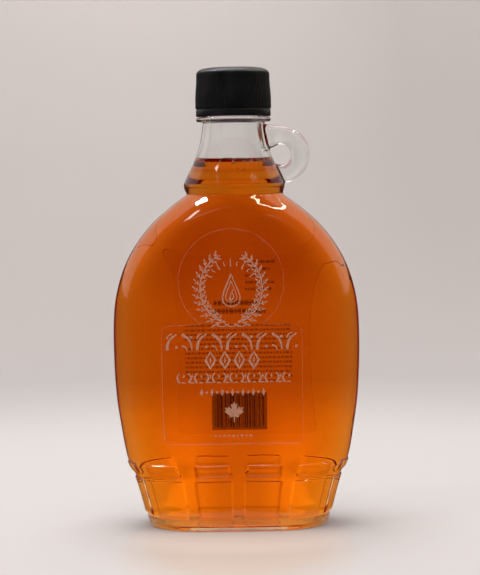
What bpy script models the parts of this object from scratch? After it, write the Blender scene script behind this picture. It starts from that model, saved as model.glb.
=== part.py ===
"""Maple syrup jug: a flat clear glass flask with a finger loop at its neck, full of syrup.

The glass is one blown piece: an oval flask with two rows of raised panels round its foot, a
ringed neck, a small finger loop and a finish under the cap. Round it sit a black screw cap and
two clear film labels, and inside it the syrup stands up to a level in the neck.
Front is -Y, the finger loop is on +X, and the jug stands on z = 0. Sizes are in metres.
"""

import math

import bmesh
import bpy
import numpy as np

# Flask outside, without the raised panels: height, half width, half depth
FLASK = (
    (0.0045, 0.0365, 0.0206),
    (0.0130, 0.0387, 0.0212),
    (0.0205, 0.0410, 0.0217),
    (0.0245, 0.0431, 0.0221),
    (0.0290, 0.0445, 0.0224),
    (0.0380, 0.0461, 0.0227),
    (0.0520, 0.0480, 0.0230),
    (0.0720, 0.0489, 0.0231),
    (0.0880, 0.0481, 0.0230),
    (0.1004, 0.0451, 0.0228),
    (0.1100, 0.0405, 0.0225),
    (0.1195, 0.0333, 0.0217),
    (0.1266, 0.0254, 0.0205),
    (0.1313, 0.0190, 0.0189),
)
# Round neck outside, from the groove over the neck ring to the collar: height, radius
NECK = (
    (0.1317, 0.0188),
    (0.1333, 0.0196),
    (0.1352, 0.0199),
    (0.1372, 0.0191),
    (0.1405, 0.0176),
    (0.1440, 0.0159),
    (0.1480, 0.0143),
    (0.1525, 0.0131),
    (0.1565, 0.0124),
    (0.1598, 0.0120),
)
# Neck inside, from the shoulder to the bore: height, half width, half depth
THROAT = (
    (0.1195, 0.0298, 0.0189),
    (0.1230, 0.0254, 0.0183),
    (0.1266, 0.0210, 0.0176),
    (0.1315, 0.0166, 0.0162),
    (0.1360, 0.0162, 0.0161),
    (0.1405, 0.0147, 0.0147),
    (0.1440, 0.0131, 0.0131),
    (0.1480, 0.0116, 0.0116),
    (0.1525, 0.0104, 0.0104),
    (0.1570, 0.0097, 0.0097),
    (0.1620, 0.0094, 0.0094),
)
WALL = 0.0027
# The oval section: flat faces between round ends that reach in this many half depths. Where the
# section is narrower than that, the ends meet and round off into the neck's circle
END_REACH = 1.2
END_POWER_GAIN = 2.5
# Heights of the plain rings between the panels and the neck, outside and inside
SIDE_RINGS = (0.034, 0.045, 0.058, 0.072, 0.084, 0.093, 0.101, 0.108, 0.114, 0.1195, 0.124, 0.1275, 0.1302)
INNER_SIDE_RINGS = (0.022, 0.034, 0.050, 0.068, 0.084, 0.096, 0.106, 0.1135)

# Foot: flat contact ring, push-up under it and the thick floor inside
CONTACT_WIDTH = 0.0340
CONTACT_DEPTH = 0.0186
CONTACT_INNER_SHARE = 0.90
PUSH_UP = 0.0016
PUSH_UP_SHARES = (0.30, 0.62)
HEEL_ROWS = 4
FLOOR_EDGE = 0.0034
FLOOR_CROWN = 0.0006
FLOOR_CORNER = 0.0062
FLOOR_CORNER_TURNS = (12.0, 38.0, 64.0, 90.0)
FLOOR_SHARES = (0.33, 0.66)

# Raised panels: twelve columns, a gap at the middle of the front, back and both sides
PANEL_PITCH = 0.0184
PANEL_SLOPE = 0.0005
TALL_PANEL = (0.0046, 0.0203)
TALL_PANEL_RAISE = 0.0007
TALL_HALF_GAP = 0.0017
BRICK = (0.0213, 0.0266)
BRICK_RAISE = 0.0007
BRICK_HALF_GAP = 0.0026
PANEL_REFERENCE_HEIGHT = 0.015
# Each row of panels: its lower and upper edge, how far it stands out and its number of raised rings
PANEL_ROWS = ((TALL_PANEL, TALL_PANEL_RAISE, 3), (BRICK, BRICK_RAISE, 2))
RAISED_COLUMNS = (2, 3, 4)
EVEN_COLUMNS_FROM = (0.028, 0.042)
COLUMNS_PER_PANEL = 6

# Collar and finish
COLLAR = (0.1600, 0.1617)
COLLAR_RADIUS = 0.0147
COLLAR_ROUND = 0.0003
FINISH_RADIUS = 0.0125
LIP_HEIGHT = 0.1789
LIP_ROUND = 0.0005
BORE_RADIUS = 0.0094

# Finger loop: a flat rounded ring that grows out of the neck
LOOP_CENTRE = (0.0186, 0.1468)
LOOP_OUTER = 0.0113
LOOP_HOLE = 0.0040
LOOP_THICK = 0.0060
LOOP_EDGE_ROUND = 0.0014
LOOP_TOP_ANGLE = 82
LOOP_BOTTOM_ANGLE = -100
LOOP_TOP_HEIGHT = 0.1590
LOOP_ROOT_DEPTH = 0.0013
LOOP_STEPS = 26
LOOP_ROOT_STEPS = 6
LOOP_HOLE_STEPS = 20

# Screw cap
CAP_TOP = 0.1812
CAP_BOTTOM = 0.1620
CAP_TOP_RADIUS = 0.01450
CAP_SKIRT_BEND = (0.1700, 0.01494)
CAP_FOOT_RADIUS = 0.0150
CAP_BAND_TOP = 0.1650
CAP_BAND_RADIUS = 0.0148
CAP_GROOVE = 0.0004
CAP_FLAT_RADIUS = 0.0100
CAP_SHOULDER_HEIGHT = 0.1786
CAP_INNER_RADIUS = 0.0132
CAP_CEILING = 0.1792
CAP_EDGE_TURNS = (25.0, 50.0, 72.0, 90.0)
CAP_STEPS = 44

# Syrup
SYRUP_LEVEL = 0.1431
FIT_GAP = 0.0003

# Film labels, as seen from the front; the back one is seen through the jug
FILM_THICK = 0.0002
LABEL_MIDDLE = -0.0018
LABEL_HALF_WIDTH = 0.0271
LABEL_BOTTOM = 0.0346
LABEL_SHOULDER = 0.0812
LABEL_CORNER = 0.0030
LABEL_DISC_HEIGHT = 0.0981
LABEL_DISC_RADIUS = 0.0204
BACK_LABEL_MIDDLE = 0.0020
BACK_LABEL_HALF_WIDTH = 0.0255
BACK_LABEL = (0.0350, 0.1060)
LABEL_COLUMNS = 9
CORNER_TURNS = (0.0, 30.0, 60.0, 90.0)
LABEL_SIDE_SHARES = (0.3, 0.6)
LABEL_DISC_STEPS = 8
LABEL_DISC_END = 86.0
BACK_LABEL_SIDE_SHARES = (0.22, 0.41, 0.6, 0.79)


def clear_scene():
    """Remove whatever the scene holds."""
    for item in list(bpy.data.objects):
        bpy.data.objects.remove(item)


def make_collection(name):
    """Add a collection to the scene."""
    collection = bpy.data.collections.new(name)
    bpy.context.scene.collection.children.link(collection)
    return collection


def make_material(name, colour, roughness, metallic=0.0, transmission=0.0):
    """Make a Principled material of one colour."""
    material = bpy.data.materials.new(name)
    material.use_nodes = True
    shader = material.node_tree.nodes["Principled BSDF"]
    shader.inputs["Base Color"].default_value = (*colour, 1.0)
    shader.inputs["Roughness"].default_value = roughness
    shader.inputs["Metallic"].default_value = metallic
    shader.inputs["Transmission Weight"].default_value = transmission
    return material


def add_object(name, mesh, collection, material):
    """Link a mesh object into a collection with its material, shaded smooth."""
    obj = bpy.data.objects.new(name, mesh)
    collection.objects.link(obj)
    mesh.materials.append(material)
    mesh.shade_smooth()
    mesh.set_sharp_from_angle(angle=math.radians(35))
    return obj


def smooth_step(low, high, value):
    """Rise smoothly from 0 at low to 1 at high."""
    share = min(1.0, max(0.0, (value - low) / (high - low)))
    return share * share * (3.0 - 2.0 * share)


def curve_value(stations, column, height):
    """Read one column of a station table at a height, on a smooth curve through the stations."""
    count = len(stations)
    last = max(i for i in range(count - 1) if i == 0 or stations[i][0] <= height)
    slopes = []
    for i in (last, last + 1):
        low = stations[max(i - 1, 0)]
        high = stations[min(i + 1, count - 1)]
        slopes.append((high[column] - low[column]) / (high[0] - low[0]))
    start, end = stations[last], stations[last + 1]
    step = end[0] - start[0]
    share = min(1.0, max(0.0, (height - start[0]) / step))
    rest = 1.0 - share
    return (
        (1.0 + 2.0 * share) * rest * rest * start[column]
        + share * share * (3.0 - 2.0 * share) * end[column]
        + share * rest * rest * step * slopes[0]
        - share * share * rest * step * slopes[1]
    )


def outer_section(height):
    """Half width and half depth of the glass outside, without the raised panels."""
    foot = FLASK[0]
    if height < foot[0]:
        share = math.sqrt(1.0 - (1.0 - height / foot[0]) ** 2)
        return (
            CONTACT_WIDTH + (foot[1] - CONTACT_WIDTH) * share,
            CONTACT_DEPTH + (foot[2] - CONTACT_DEPTH) * share,
        )
    if height <= FLASK[-1][0]:
        return curve_value(FLASK, 1, height), curve_value(FLASK, 2, height)
    radius = curve_value(NECK, 1, height)
    return radius, radius


def inner_section(height):
    """Half width and half depth of the space inside the glass."""
    if height >= THROAT[0][0]:
        return curve_value(THROAT, 1, height), curve_value(THROAT, 2, height)
    reach = 0.001
    widths = []
    for column in (1, 2):
        rise = curve_value(FLASK, column, height + reach) - curve_value(FLASK, column, height - reach)
        slant = math.hypot(1.0, rise / (2.0 * reach))
        widths.append(curve_value(FLASK, column, height) - WALL * slant)
    corner_top = FLOOR_EDGE + FLOOR_CORNER
    if height < corner_top:
        lean = 1.0 - math.sqrt(1.0 - ((corner_top - height) / FLOOR_CORNER) ** 2)
        widths = [width - FLOOR_CORNER * lean for width in widths]
    return widths[0], widths[1]


def round_end(across, half_width, half_depth):
    """Length of the section's round end, its power, and how far a place lies along it."""
    reach = min(max(half_width / half_depth, 1.0), END_REACH)
    run = min(reach * half_depth, half_width)
    inwards = max(0.0, 1.0 - (half_width - abs(across)) / run)
    return run, 2.0 + END_POWER_GAIN * (reach - 1.0), inwards


def face_rise(across, half_width, half_depth):
    """How far the flat-faced oval stands from its long axis at a place along it."""
    _, power, inwards = round_end(across, half_width, half_depth)
    return half_depth * math.sqrt(max(0.0, 1.0 - inwards**power))


def oval_point(angle, half_width, half_depth):
    """A point of the flat-faced oval with round ends, where -90 degrees is the front."""
    across = math.cos(angle) * half_width
    return across, math.copysign(face_rise(across, half_width, half_depth), math.sin(angle))


def oval_normal(point, half_width, half_depth):
    """Direction straight out of the oval at one of its points."""
    run, power, inwards = round_end(point[0], half_width, half_depth)
    across = math.copysign(power * inwards ** (power - 1.0) / run, point[0])
    along = 2.0 * point[1] / half_depth**2
    size = math.hypot(across, along)
    return across / size, along / size


def girth_table():
    """Angles round the flask and the girth travelled to each, from the middle of the front."""
    width, depth = outer_section(PANEL_REFERENCE_HEIGHT)
    angles = np.radians(np.linspace(-90.0, 270.0, 1441))
    points = np.array([oval_point(a, width, depth) for a in angles])
    steps = np.hypot(*np.diff(points, axis=0).T)
    return angles, np.concatenate([[0.0], np.cumsum(steps)])


def panel_bounds(girth):
    """Where each panel column starts and ends along the girth."""
    quarter = girth / 4.0
    first = [0.0, PANEL_PITCH, 2.0 * PANEL_PITCH]
    half = first + [quarter] + [2.0 * quarter - s for s in reversed(first[1:])]
    return half + [s + 2.0 * quarter for s in half] + [girth]


def outer_angles(height, table):
    """Angles of the columns of the outer skin: on the panel edges low down, even higher up."""
    angles, girths = table
    bounds = panel_bounds(girths[-1])
    lean = smooth_step(TALL_PANEL[1], BRICK[0], height)
    gap = TALL_HALF_GAP + (BRICK_HALF_GAP - TALL_HALF_GAP) * lean
    even = smooth_step(*EVEN_COLUMNS_FROM, height)
    places = []
    for start, end in zip(bounds, bounds[1:]):
        pitch = end - start
        edge = gap + PANEL_SLOPE
        on_panel = (0.0, gap, edge, pitch / 2.0, pitch - edge, pitch - gap)
        for column, place in enumerate(on_panel):
            spread = pitch * column / COLUMNS_PER_PANEL
            places.append(start + place + (spread - place) * even)
    return np.interp(places, girths, angles)


def inner_angles(table):
    """Angles of the columns of the inner skin: half as many, evenly spread over each panel."""
    angles, girths = table
    bounds = panel_bounds(girths[-1])
    half = COLUMNS_PER_PANEL // 2
    places = [a + (b - a) * i / half for a, b in zip(bounds, bounds[1:]) for i in range(half)]
    return np.interp(places, girths, angles)


def outer_ring(height, table, raise_by=0.0, share=1.0, drop_to=None):
    """One ring of the outer skin, its panel columns raised, or shrunk for the push-up below."""
    width, depth = (size * share for size in outer_section(height))
    ring = []
    for column, angle in enumerate(outer_angles(height, table)):
        point = oval_point(angle, width, depth)
        out = oval_normal(point, width, depth)
        lift = raise_by if column % COLUMNS_PER_PANEL in RAISED_COLUMNS else 0.0
        level = height if drop_to is None else drop_to
        ring.append((point[0] + out[0] * lift, point[1] + out[1] * lift, level))
    return ring


def inner_ring(height, table, inset=0.0, share=1.0, level=None):
    """One ring of the inner skin, or of the syrup just inside it."""
    width, depth = inner_section(height)
    size = ((width - inset) * share, (depth - inset) * share)
    points = [oval_point(angle, *size) for angle in inner_angles(table)]
    return [(x, y, height if level is None else level) for x, y in points]


def round_ring(radius, height, table, outer=True):
    """One circular ring of the finish, on the columns of the outer or the inner skin."""
    angles = outer_angles(height, table) if outer else inner_angles(table)
    return [(radius * math.cos(a), radius * math.sin(a), height) for a in angles]


def skin_ring(mesh, previous, points):
    """Add a ring of points and the faces that join it to the ring before it."""
    ring = [mesh.verts.new(point) for point in points]
    if previous is None:
        return ring
    count, before = len(ring), len(previous)
    for i in range(count):
        after = (i + 1) % count
        if count == before:
            mesh.faces.new((previous[i], previous[after], ring[after], ring[i]))
            continue
        low, middle, high = previous[2 * i], previous[2 * i + 1], previous[(2 * i + 2) % before]
        mesh.faces.new((low, middle, ring[i]))
        mesh.faces.new((middle, ring[after], ring[i]))
        mesh.faces.new((middle, high, ring[after]))
    return ring


def close_ring(mesh, ring, height):
    """Close a ring with a fan to a point on the axis."""
    pole = mesh.verts.new((0.0, 0.0, height))
    for i, vert in enumerate(ring):
        mesh.faces.new((vert, ring[(i + 1) % len(ring)], pole))


def mesh_from(rings, first_pole, last_pole, name):
    """Loft a closed body through rings, with a point on the axis at each end."""
    mesh = bmesh.new()
    ring = None
    for points in rings:
        before = ring
        ring = skin_ring(mesh, ring, points)
        if before is None:
            close_ring(mesh, ring, first_pole)
    close_ring(mesh, ring, last_pole)
    bmesh.ops.recalc_face_normals(mesh, faces=mesh.faces)
    data = bpy.data.meshes.new(name)
    mesh.to_mesh(data)
    mesh.free()
    return data


def foot_rings(table):
    """Rings of the push-up, the flat contact ring and the heel."""
    rings = []
    for share in PUSH_UP_SHARES:
        depth = PUSH_UP * (1.0 - (share / CONTACT_INNER_SHARE) ** 2)
        rings.append(outer_ring(0.0, table, share=share, drop_to=depth))
    rings.append(outer_ring(0.0, table, share=CONTACT_INNER_SHARE))
    for row in range(HEEL_ROWS):
        turn = math.radians(90.0 * row / HEEL_ROWS)
        rings.append(outer_ring(FLASK[0][0] * (1.0 - math.cos(turn)), table))
    return rings


def panel_rings(table):
    """Rings of the two rows of raised panels."""
    rings = []
    for (low, high), lift, count in PANEL_ROWS:
        raised = np.linspace(low + PANEL_SLOPE, high - PANEL_SLOPE, count)
        rings.append(outer_ring(low, table))
        rings += [outer_ring(height, table, raise_by=lift) for height in raised]
        rings.append(outer_ring(high, table))
    return rings


def collar_rings(table):
    """Rings of the collar, the finish under the cap and the lip."""
    low, high = COLLAR
    profile = (
        (COLLAR_RADIUS - COLLAR_ROUND, low),
        (COLLAR_RADIUS, low + COLLAR_ROUND),
        (COLLAR_RADIUS, high - COLLAR_ROUND),
        (COLLAR_RADIUS - COLLAR_ROUND, high),
        (FINISH_RADIUS, high),
        (FINISH_RADIUS, LIP_HEIGHT - LIP_ROUND),
        (FINISH_RADIUS - LIP_ROUND, LIP_HEIGHT),
    )
    return [round_ring(radius, height, table) for radius, height in profile]


def glass_rings(table):
    """All rings of the glass, up the outside, over the lip and down the inside."""
    rings = foot_rings(table) + panel_rings(table)
    rings += [outer_ring(height, table) for height in SIDE_RINGS]
    rings += [outer_ring(height, table) for height, _ in NECK]
    rings += collar_rings(table)
    rings.append(round_ring(BORE_RADIUS + LIP_ROUND, LIP_HEIGHT, table, outer=False))
    rings.append(round_ring(BORE_RADIUS, LIP_HEIGHT - LIP_ROUND, table, outer=False))
    rings += [inner_ring(height, table) for height in reversed(inner_heights(THROAT[-1][0]))]
    rings += [floor_ring(share, table) for share in reversed(FLOOR_SHARES)]
    return rings


def inner_heights(top):
    """Heights of the inner skin's rings, from the floor's edge up to a level."""
    turns = [math.radians(turn) for turn in FLOOR_CORNER_TURNS]
    heights = [FLOOR_EDGE + FLOOR_CORNER * (1.0 - math.cos(turn)) for turn in turns]
    heights += list(INNER_SIDE_RINGS) + [station[0] for station in THROAT]
    return [height for height in heights if height <= top]


def floor_ring(share, table, lift=0.0):
    """A ring of the gently crowned floor inside."""
    level = FLOOR_EDGE + FLOOR_CROWN * (1.0 - share * share) + lift
    return inner_ring(inner_heights(SYRUP_LEVEL)[0], table, share=share, level=level)


def loop_outline():
    """Outline of the finger loop in the X-Z plane, its root sunk into the neck's wall."""
    outline = []
    for i in range(LOOP_STEPS + 1):
        share = i / LOOP_STEPS
        turn = math.radians(LOOP_TOP_ANGLE + (LOOP_BOTTOM_ANGLE - LOOP_TOP_ANGLE) * share)
        outline.append(
            (LOOP_CENTRE[0] + LOOP_OUTER * math.cos(turn), LOOP_CENTRE[1] + LOOP_OUTER * math.sin(turn))
        )
    low = outline[-1][1] + LOOP_ROOT_DEPTH
    for i in range(LOOP_ROOT_STEPS + 1):
        height = low + (LOOP_TOP_HEIGHT - low) * i / LOOP_ROOT_STEPS
        outline.append((outer_section(height)[0] - LOOP_ROOT_DEPTH, height))
    return outline


def hole_outline():
    """Outline of the loop's round hole."""
    turns = [2.0 * math.pi * i / LOOP_HOLE_STEPS for i in range(LOOP_HOLE_STEPS)]
    return [
        (LOOP_CENTRE[0] + LOOP_HOLE * math.cos(turn), LOOP_CENTRE[1] + LOOP_HOLE * math.sin(turn))
        for turn in turns
    ]


def make_loop(collection, material):
    """Extrude the finger loop with rounded edges and stand it upright beside the neck."""
    curve = bpy.data.curves.new("finger_loop_outline", "CURVE")
    curve.dimensions = "2D"
    curve.fill_mode = "BOTH"
    curve.bevel_depth = LOOP_EDGE_ROUND
    curve.bevel_resolution = 1
    curve.offset = -LOOP_EDGE_ROUND
    curve.extrude = LOOP_THICK / 2.0 - LOOP_EDGE_ROUND
    for outline in (loop_outline(), hole_outline()):
        spline = curve.splines.new("POLY")
        spline.points.add(len(outline) - 1)
        for point, (x, z) in zip(spline.points, outline):
            point.co = (x, z, 0.0, 1.0)
        spline.use_cyclic_u = True
    flat = bpy.data.objects.new("finger_loop_outline", curve)
    flat.rotation_euler = (math.pi / 2.0, 0.0, 0.0)
    collection.objects.link(flat)
    bpy.context.view_layer.update()
    graph = bpy.context.evaluated_depsgraph_get()
    data = bpy.data.meshes.new_from_object(flat.evaluated_get(graph))
    mesh = bmesh.new()
    mesh.from_mesh(data)
    bmesh.ops.remove_doubles(mesh, verts=mesh.verts, dist=1e-6)
    bmesh.ops.recalc_face_normals(mesh, faces=mesh.faces)
    mesh.to_mesh(data)
    mesh.free()
    loop = add_object("finger_loop", data, collection, material)
    loop.matrix_world = flat.matrix_world
    bpy.data.objects.remove(flat)
    loop.hide_render = True
    loop.display_type = "WIRE"
    return loop


def make_glass(table, collection, helpers):
    """Build the glass flask and join the finger loop to its neck."""
    glass = make_material("clear_glass", (0.86, 0.88, 0.85), 0.04, transmission=1.0)
    data = mesh_from(glass_rings(table), PUSH_UP, FLOOR_EDGE + FLOOR_CROWN, "glass_jug")
    jug = add_object("glass_jug", data, collection, glass)
    join = jug.modifiers.new("finger_loop", "BOOLEAN")
    join.operation = "UNION"
    join.solver = "MANIFOLD"
    join.object = make_loop(helpers, glass)


def make_syrup(table, collection):
    """Fill the jug with syrup up to its level, a hair clear of the glass."""
    amber = make_material("amber_syrup", (0.62, 0.16, 0.01), 0.05)
    heights = [h for h in inner_heights(SYRUP_LEVEL) if h < SYRUP_LEVEL - FIT_GAP]
    rings = [floor_ring(share, table, FIT_GAP) for share in FLOOR_SHARES]
    for height in heights:
        ring = inner_ring(height, table, inset=FIT_GAP)
        if height < FLOOR_EDGE + FLOOR_CORNER / 2.0:
            ring = [(x, y, z + FIT_GAP) for x, y, z in ring]
        rings.append(ring)
    rings.append(inner_ring(SYRUP_LEVEL, table, inset=FIT_GAP))
    data = mesh_from(rings, FLOOR_EDGE + FLOOR_CROWN + FIT_GAP, SYRUP_LEVEL, "maple_syrup")
    add_object("maple_syrup", data, collection, amber)


def make_cap(collection):
    """Turn the screw cap: a skirt over a tamper band, with a bevelled top."""
    black = make_material("black_cap_plastic", (0.012, 0.012, 0.013), 0.38)
    shoulder = CAP_TOP - CAP_SHOULDER_HEIGHT
    run = CAP_TOP_RADIUS - CAP_FLAT_RADIUS
    profile = [(0.0, CAP_TOP), (CAP_FLAT_RADIUS, CAP_TOP)]
    for turn in CAP_EDGE_TURNS:
        angle = math.radians(turn)
        drop = shoulder * (1.0 - math.cos(angle))
        profile.append((CAP_FLAT_RADIUS + run * math.sin(angle), CAP_TOP - drop))
    profile += [
        (CAP_SKIRT_BEND[1], CAP_SKIRT_BEND[0]),
        (CAP_FOOT_RADIUS, CAP_BAND_TOP + CAP_GROOVE),
        (CAP_BAND_RADIUS - CAP_GROOVE, CAP_BAND_TOP),
        (CAP_BAND_RADIUS, CAP_BAND_TOP - CAP_GROOVE),
        (CAP_BAND_RADIUS, CAP_BOTTOM),
        (CAP_INNER_RADIUS, CAP_BOTTOM),
        (CAP_INNER_RADIUS, CAP_CEILING),
        (0.0, CAP_CEILING),
    ]
    data = bpy.data.meshes.new("screw_cap")
    edges = [(i, i + 1) for i in range(len(profile) - 1)]
    data.from_pydata([(x, 0.0, z) for x, z in profile], edges, [])
    cap = add_object("screw_cap", data, collection, black)
    turned = cap.modifiers.new("turned", "SCREW")
    turned.steps = CAP_STEPS
    turned.render_steps = CAP_STEPS
    turned.use_merge_vertices = True
    turned.merge_threshold = 0.00001
    turned.use_smooth_shade = True


def surface_depth(x, height):
    """How far the flask's face stands from the middle plane at a place on it."""
    return face_rise(x, *outer_section(height))


def corner_rows(edge, inwards, half_width):
    """Rows of a rounded label corner, from its straight end to its full width."""
    rows = []
    for turn in CORNER_TURNS:
        angle = math.radians(turn)
        height = edge + inwards * LABEL_CORNER * (1.0 - math.cos(angle))
        rows.append((height, half_width - LABEL_CORNER * (1.0 - math.sin(angle))))
    return rows


def front_label_rows():
    """Heights and half widths of the front label: a broad field with a disc rising from it."""
    rows = corner_rows(LABEL_BOTTOM, 1.0, LABEL_HALF_WIDTH)
    tall = LABEL_SHOULDER - LABEL_BOTTOM
    rows += [(LABEL_BOTTOM + share * tall, LABEL_HALF_WIDTH) for share in LABEL_SIDE_SHARES]
    rows += reversed(corner_rows(LABEL_SHOULDER, -1.0, LABEL_HALF_WIDTH))
    start = math.asin((LABEL_SHOULDER + LABEL_CORNER / 6.0 - LABEL_DISC_HEIGHT) / LABEL_DISC_RADIUS)
    for i in range(LABEL_DISC_STEPS + 1):
        turn = start + (math.radians(LABEL_DISC_END) - start) * i / LABEL_DISC_STEPS
        height = LABEL_DISC_HEIGHT + LABEL_DISC_RADIUS * math.sin(turn)
        rows.append((height, LABEL_DISC_RADIUS * math.cos(turn)))
    return rows


def back_label_rows():
    """Heights and half widths of the back label, a rectangle with rounded corners."""
    low, high = BACK_LABEL
    rows = corner_rows(low, 1.0, BACK_LABEL_HALF_WIDTH)
    rows += [(low + share * (high - low), BACK_LABEL_HALF_WIDTH) for share in BACK_LABEL_SIDE_SHARES]
    rows += reversed(corner_rows(high, -1.0, BACK_LABEL_HALF_WIDTH))
    return rows


def make_label(name, rows, middle, side, collection, material):
    """Lay a thin film on the front (side -1) or the back (side 1) of the flask."""
    mesh = bmesh.new()
    previous = None
    for height, half_width in rows:
        row = []
        for column in range(LABEL_COLUMNS):
            x = middle + half_width * (2.0 * column / (LABEL_COLUMNS - 1) - 1.0)
            row.append(mesh.verts.new((x, side * (surface_depth(x, height) + FIT_GAP), height)))
        if previous:
            for i in range(LABEL_COLUMNS - 1):
                face = (previous[i], previous[i + 1], row[i + 1], row[i])
                mesh.faces.new(face if side < 0 else face[::-1])
        previous = row
    data = bpy.data.meshes.new(name)
    mesh.to_mesh(data)
    mesh.free()
    label = add_object(name, data, collection, material)
    film = label.modifiers.new("film", "SOLIDIFY")
    film.thickness = FILM_THICK
    film.offset = 1.0


def main():
    """Model the jug."""
    clear_scene()
    jug = make_collection("maple_syrup_jug")
    helpers = make_collection("helpers")
    helpers.hide_render = True
    table = girth_table()
    make_glass(table, jug, helpers)
    make_syrup(table, jug)
    make_cap(jug)
    film = make_material("clear_film", (0.80, 0.78, 0.74), 0.30, transmission=0.9)
    make_label("front_label", front_label_rows(), LABEL_MIDDLE, -1.0, jug, film)
    make_label("back_label", back_label_rows(), BACK_LABEL_MIDDLE, 1.0, jug, film)


main()
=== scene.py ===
"""Dress the maple syrup jug: blown glass, syrup, ribbed screw cap, film labels and their print.

Front is -Y, the finger loop is on +X and the jug stands on z = 0. Sizes are in metres.
"""

import logging
import math
import random
from collections.abc import Callable, Iterable, Sequence
from dataclasses import dataclass, field
from enum import Enum

import bmesh
import bpy
import numpy as np
from mathutils import Matrix, Vector, kdtree


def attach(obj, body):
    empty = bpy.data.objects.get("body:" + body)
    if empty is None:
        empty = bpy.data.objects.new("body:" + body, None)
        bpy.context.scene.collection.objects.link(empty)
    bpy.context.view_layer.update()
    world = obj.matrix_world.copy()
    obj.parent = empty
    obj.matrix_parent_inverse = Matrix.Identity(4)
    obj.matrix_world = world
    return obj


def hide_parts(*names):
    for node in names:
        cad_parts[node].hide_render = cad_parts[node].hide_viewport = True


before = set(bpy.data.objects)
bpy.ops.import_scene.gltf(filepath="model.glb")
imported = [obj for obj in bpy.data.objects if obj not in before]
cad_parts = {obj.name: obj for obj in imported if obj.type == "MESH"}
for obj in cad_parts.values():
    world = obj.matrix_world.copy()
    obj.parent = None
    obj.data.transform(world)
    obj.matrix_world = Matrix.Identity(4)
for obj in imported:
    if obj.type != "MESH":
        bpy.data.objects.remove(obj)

LOG = logging.getLogger("jug")
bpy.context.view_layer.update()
BODY = "root"
MM = 0.001
WET = "wetted"
END_REACH = 1.2
END_POWER_GAIN = 2.5
END_LIMIT = 0.9999
INK_EDGE_LIMITS = (4.0, 2.0, 1.3)
OUTER_SHARE = 0.92
Outline = list[tuple[float, float]]
Colour = tuple[float, float, float]
Place = tuple[float, float, float]
Levels = tuple[tuple[float, Colour], ...]


class Face(Enum):
    """Which broad face of the flask a label lies on."""

    FRONT = -1.0
    BACK = 1.0


def smooth_step(low: float, high: float, value: np.ndarray | float) -> np.ndarray:
    """Rise smoothly from 0 at low to 1 at high.

    Args:
        low: Value where the rise starts.
        high: Value where it ends.
        value: Where to read it.

    Returns:
        The share risen, from 0 to 1.
    """
    share = np.clip((np.asarray(value, float) - low) / (high - low), 0.0, 1.0)
    return share * share * (3.0 - 2.0 * share)


@dataclass(frozen=True)
class Profile:
    """A smooth curve through a few stations of height and size."""

    heights: tuple[float, ...]
    sizes: tuple[float, ...]

    def at(self, height: np.ndarray | float) -> np.ndarray:
        """Read the curve.

        Args:
            height: Heights to read it at.

        Returns:
            The size at each height.
        """
        stops = np.asarray(self.heights)
        sizes = np.asarray(self.sizes)
        slopes = np.gradient(sizes, stops)
        slopes[1:-1] = (sizes[2:] - sizes[:-2]) / (stops[2:] - stops[:-2])
        place = np.asarray(height, float)
        first = np.clip(np.searchsorted(stops, place, side="right") - 1, 0, len(stops) - 2)
        step = stops[first + 1] - stops[first]
        share = np.clip((place - stops[first]) / step, 0.0, 1.0)
        rest = 1.0 - share
        return (
            (1.0 + 2.0 * share) * rest**2 * sizes[first]
            + share**2 * (3.0 - 2.0 * share) * sizes[first + 1]
            + share * rest**2 * step * slopes[first]
            - share**2 * rest * step * slopes[first + 1]
        )


def profile_of(rows: Sequence[tuple[float, ...]], column: int) -> Profile:
    """Take one column of a station table.

    Args:
        rows: Stations, each with its height first.
        column: Which size to take.

    Returns:
        The curve of that size over height.
    """
    return Profile(tuple(row[0] for row in rows), tuple(row[column] for row in rows))


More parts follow.
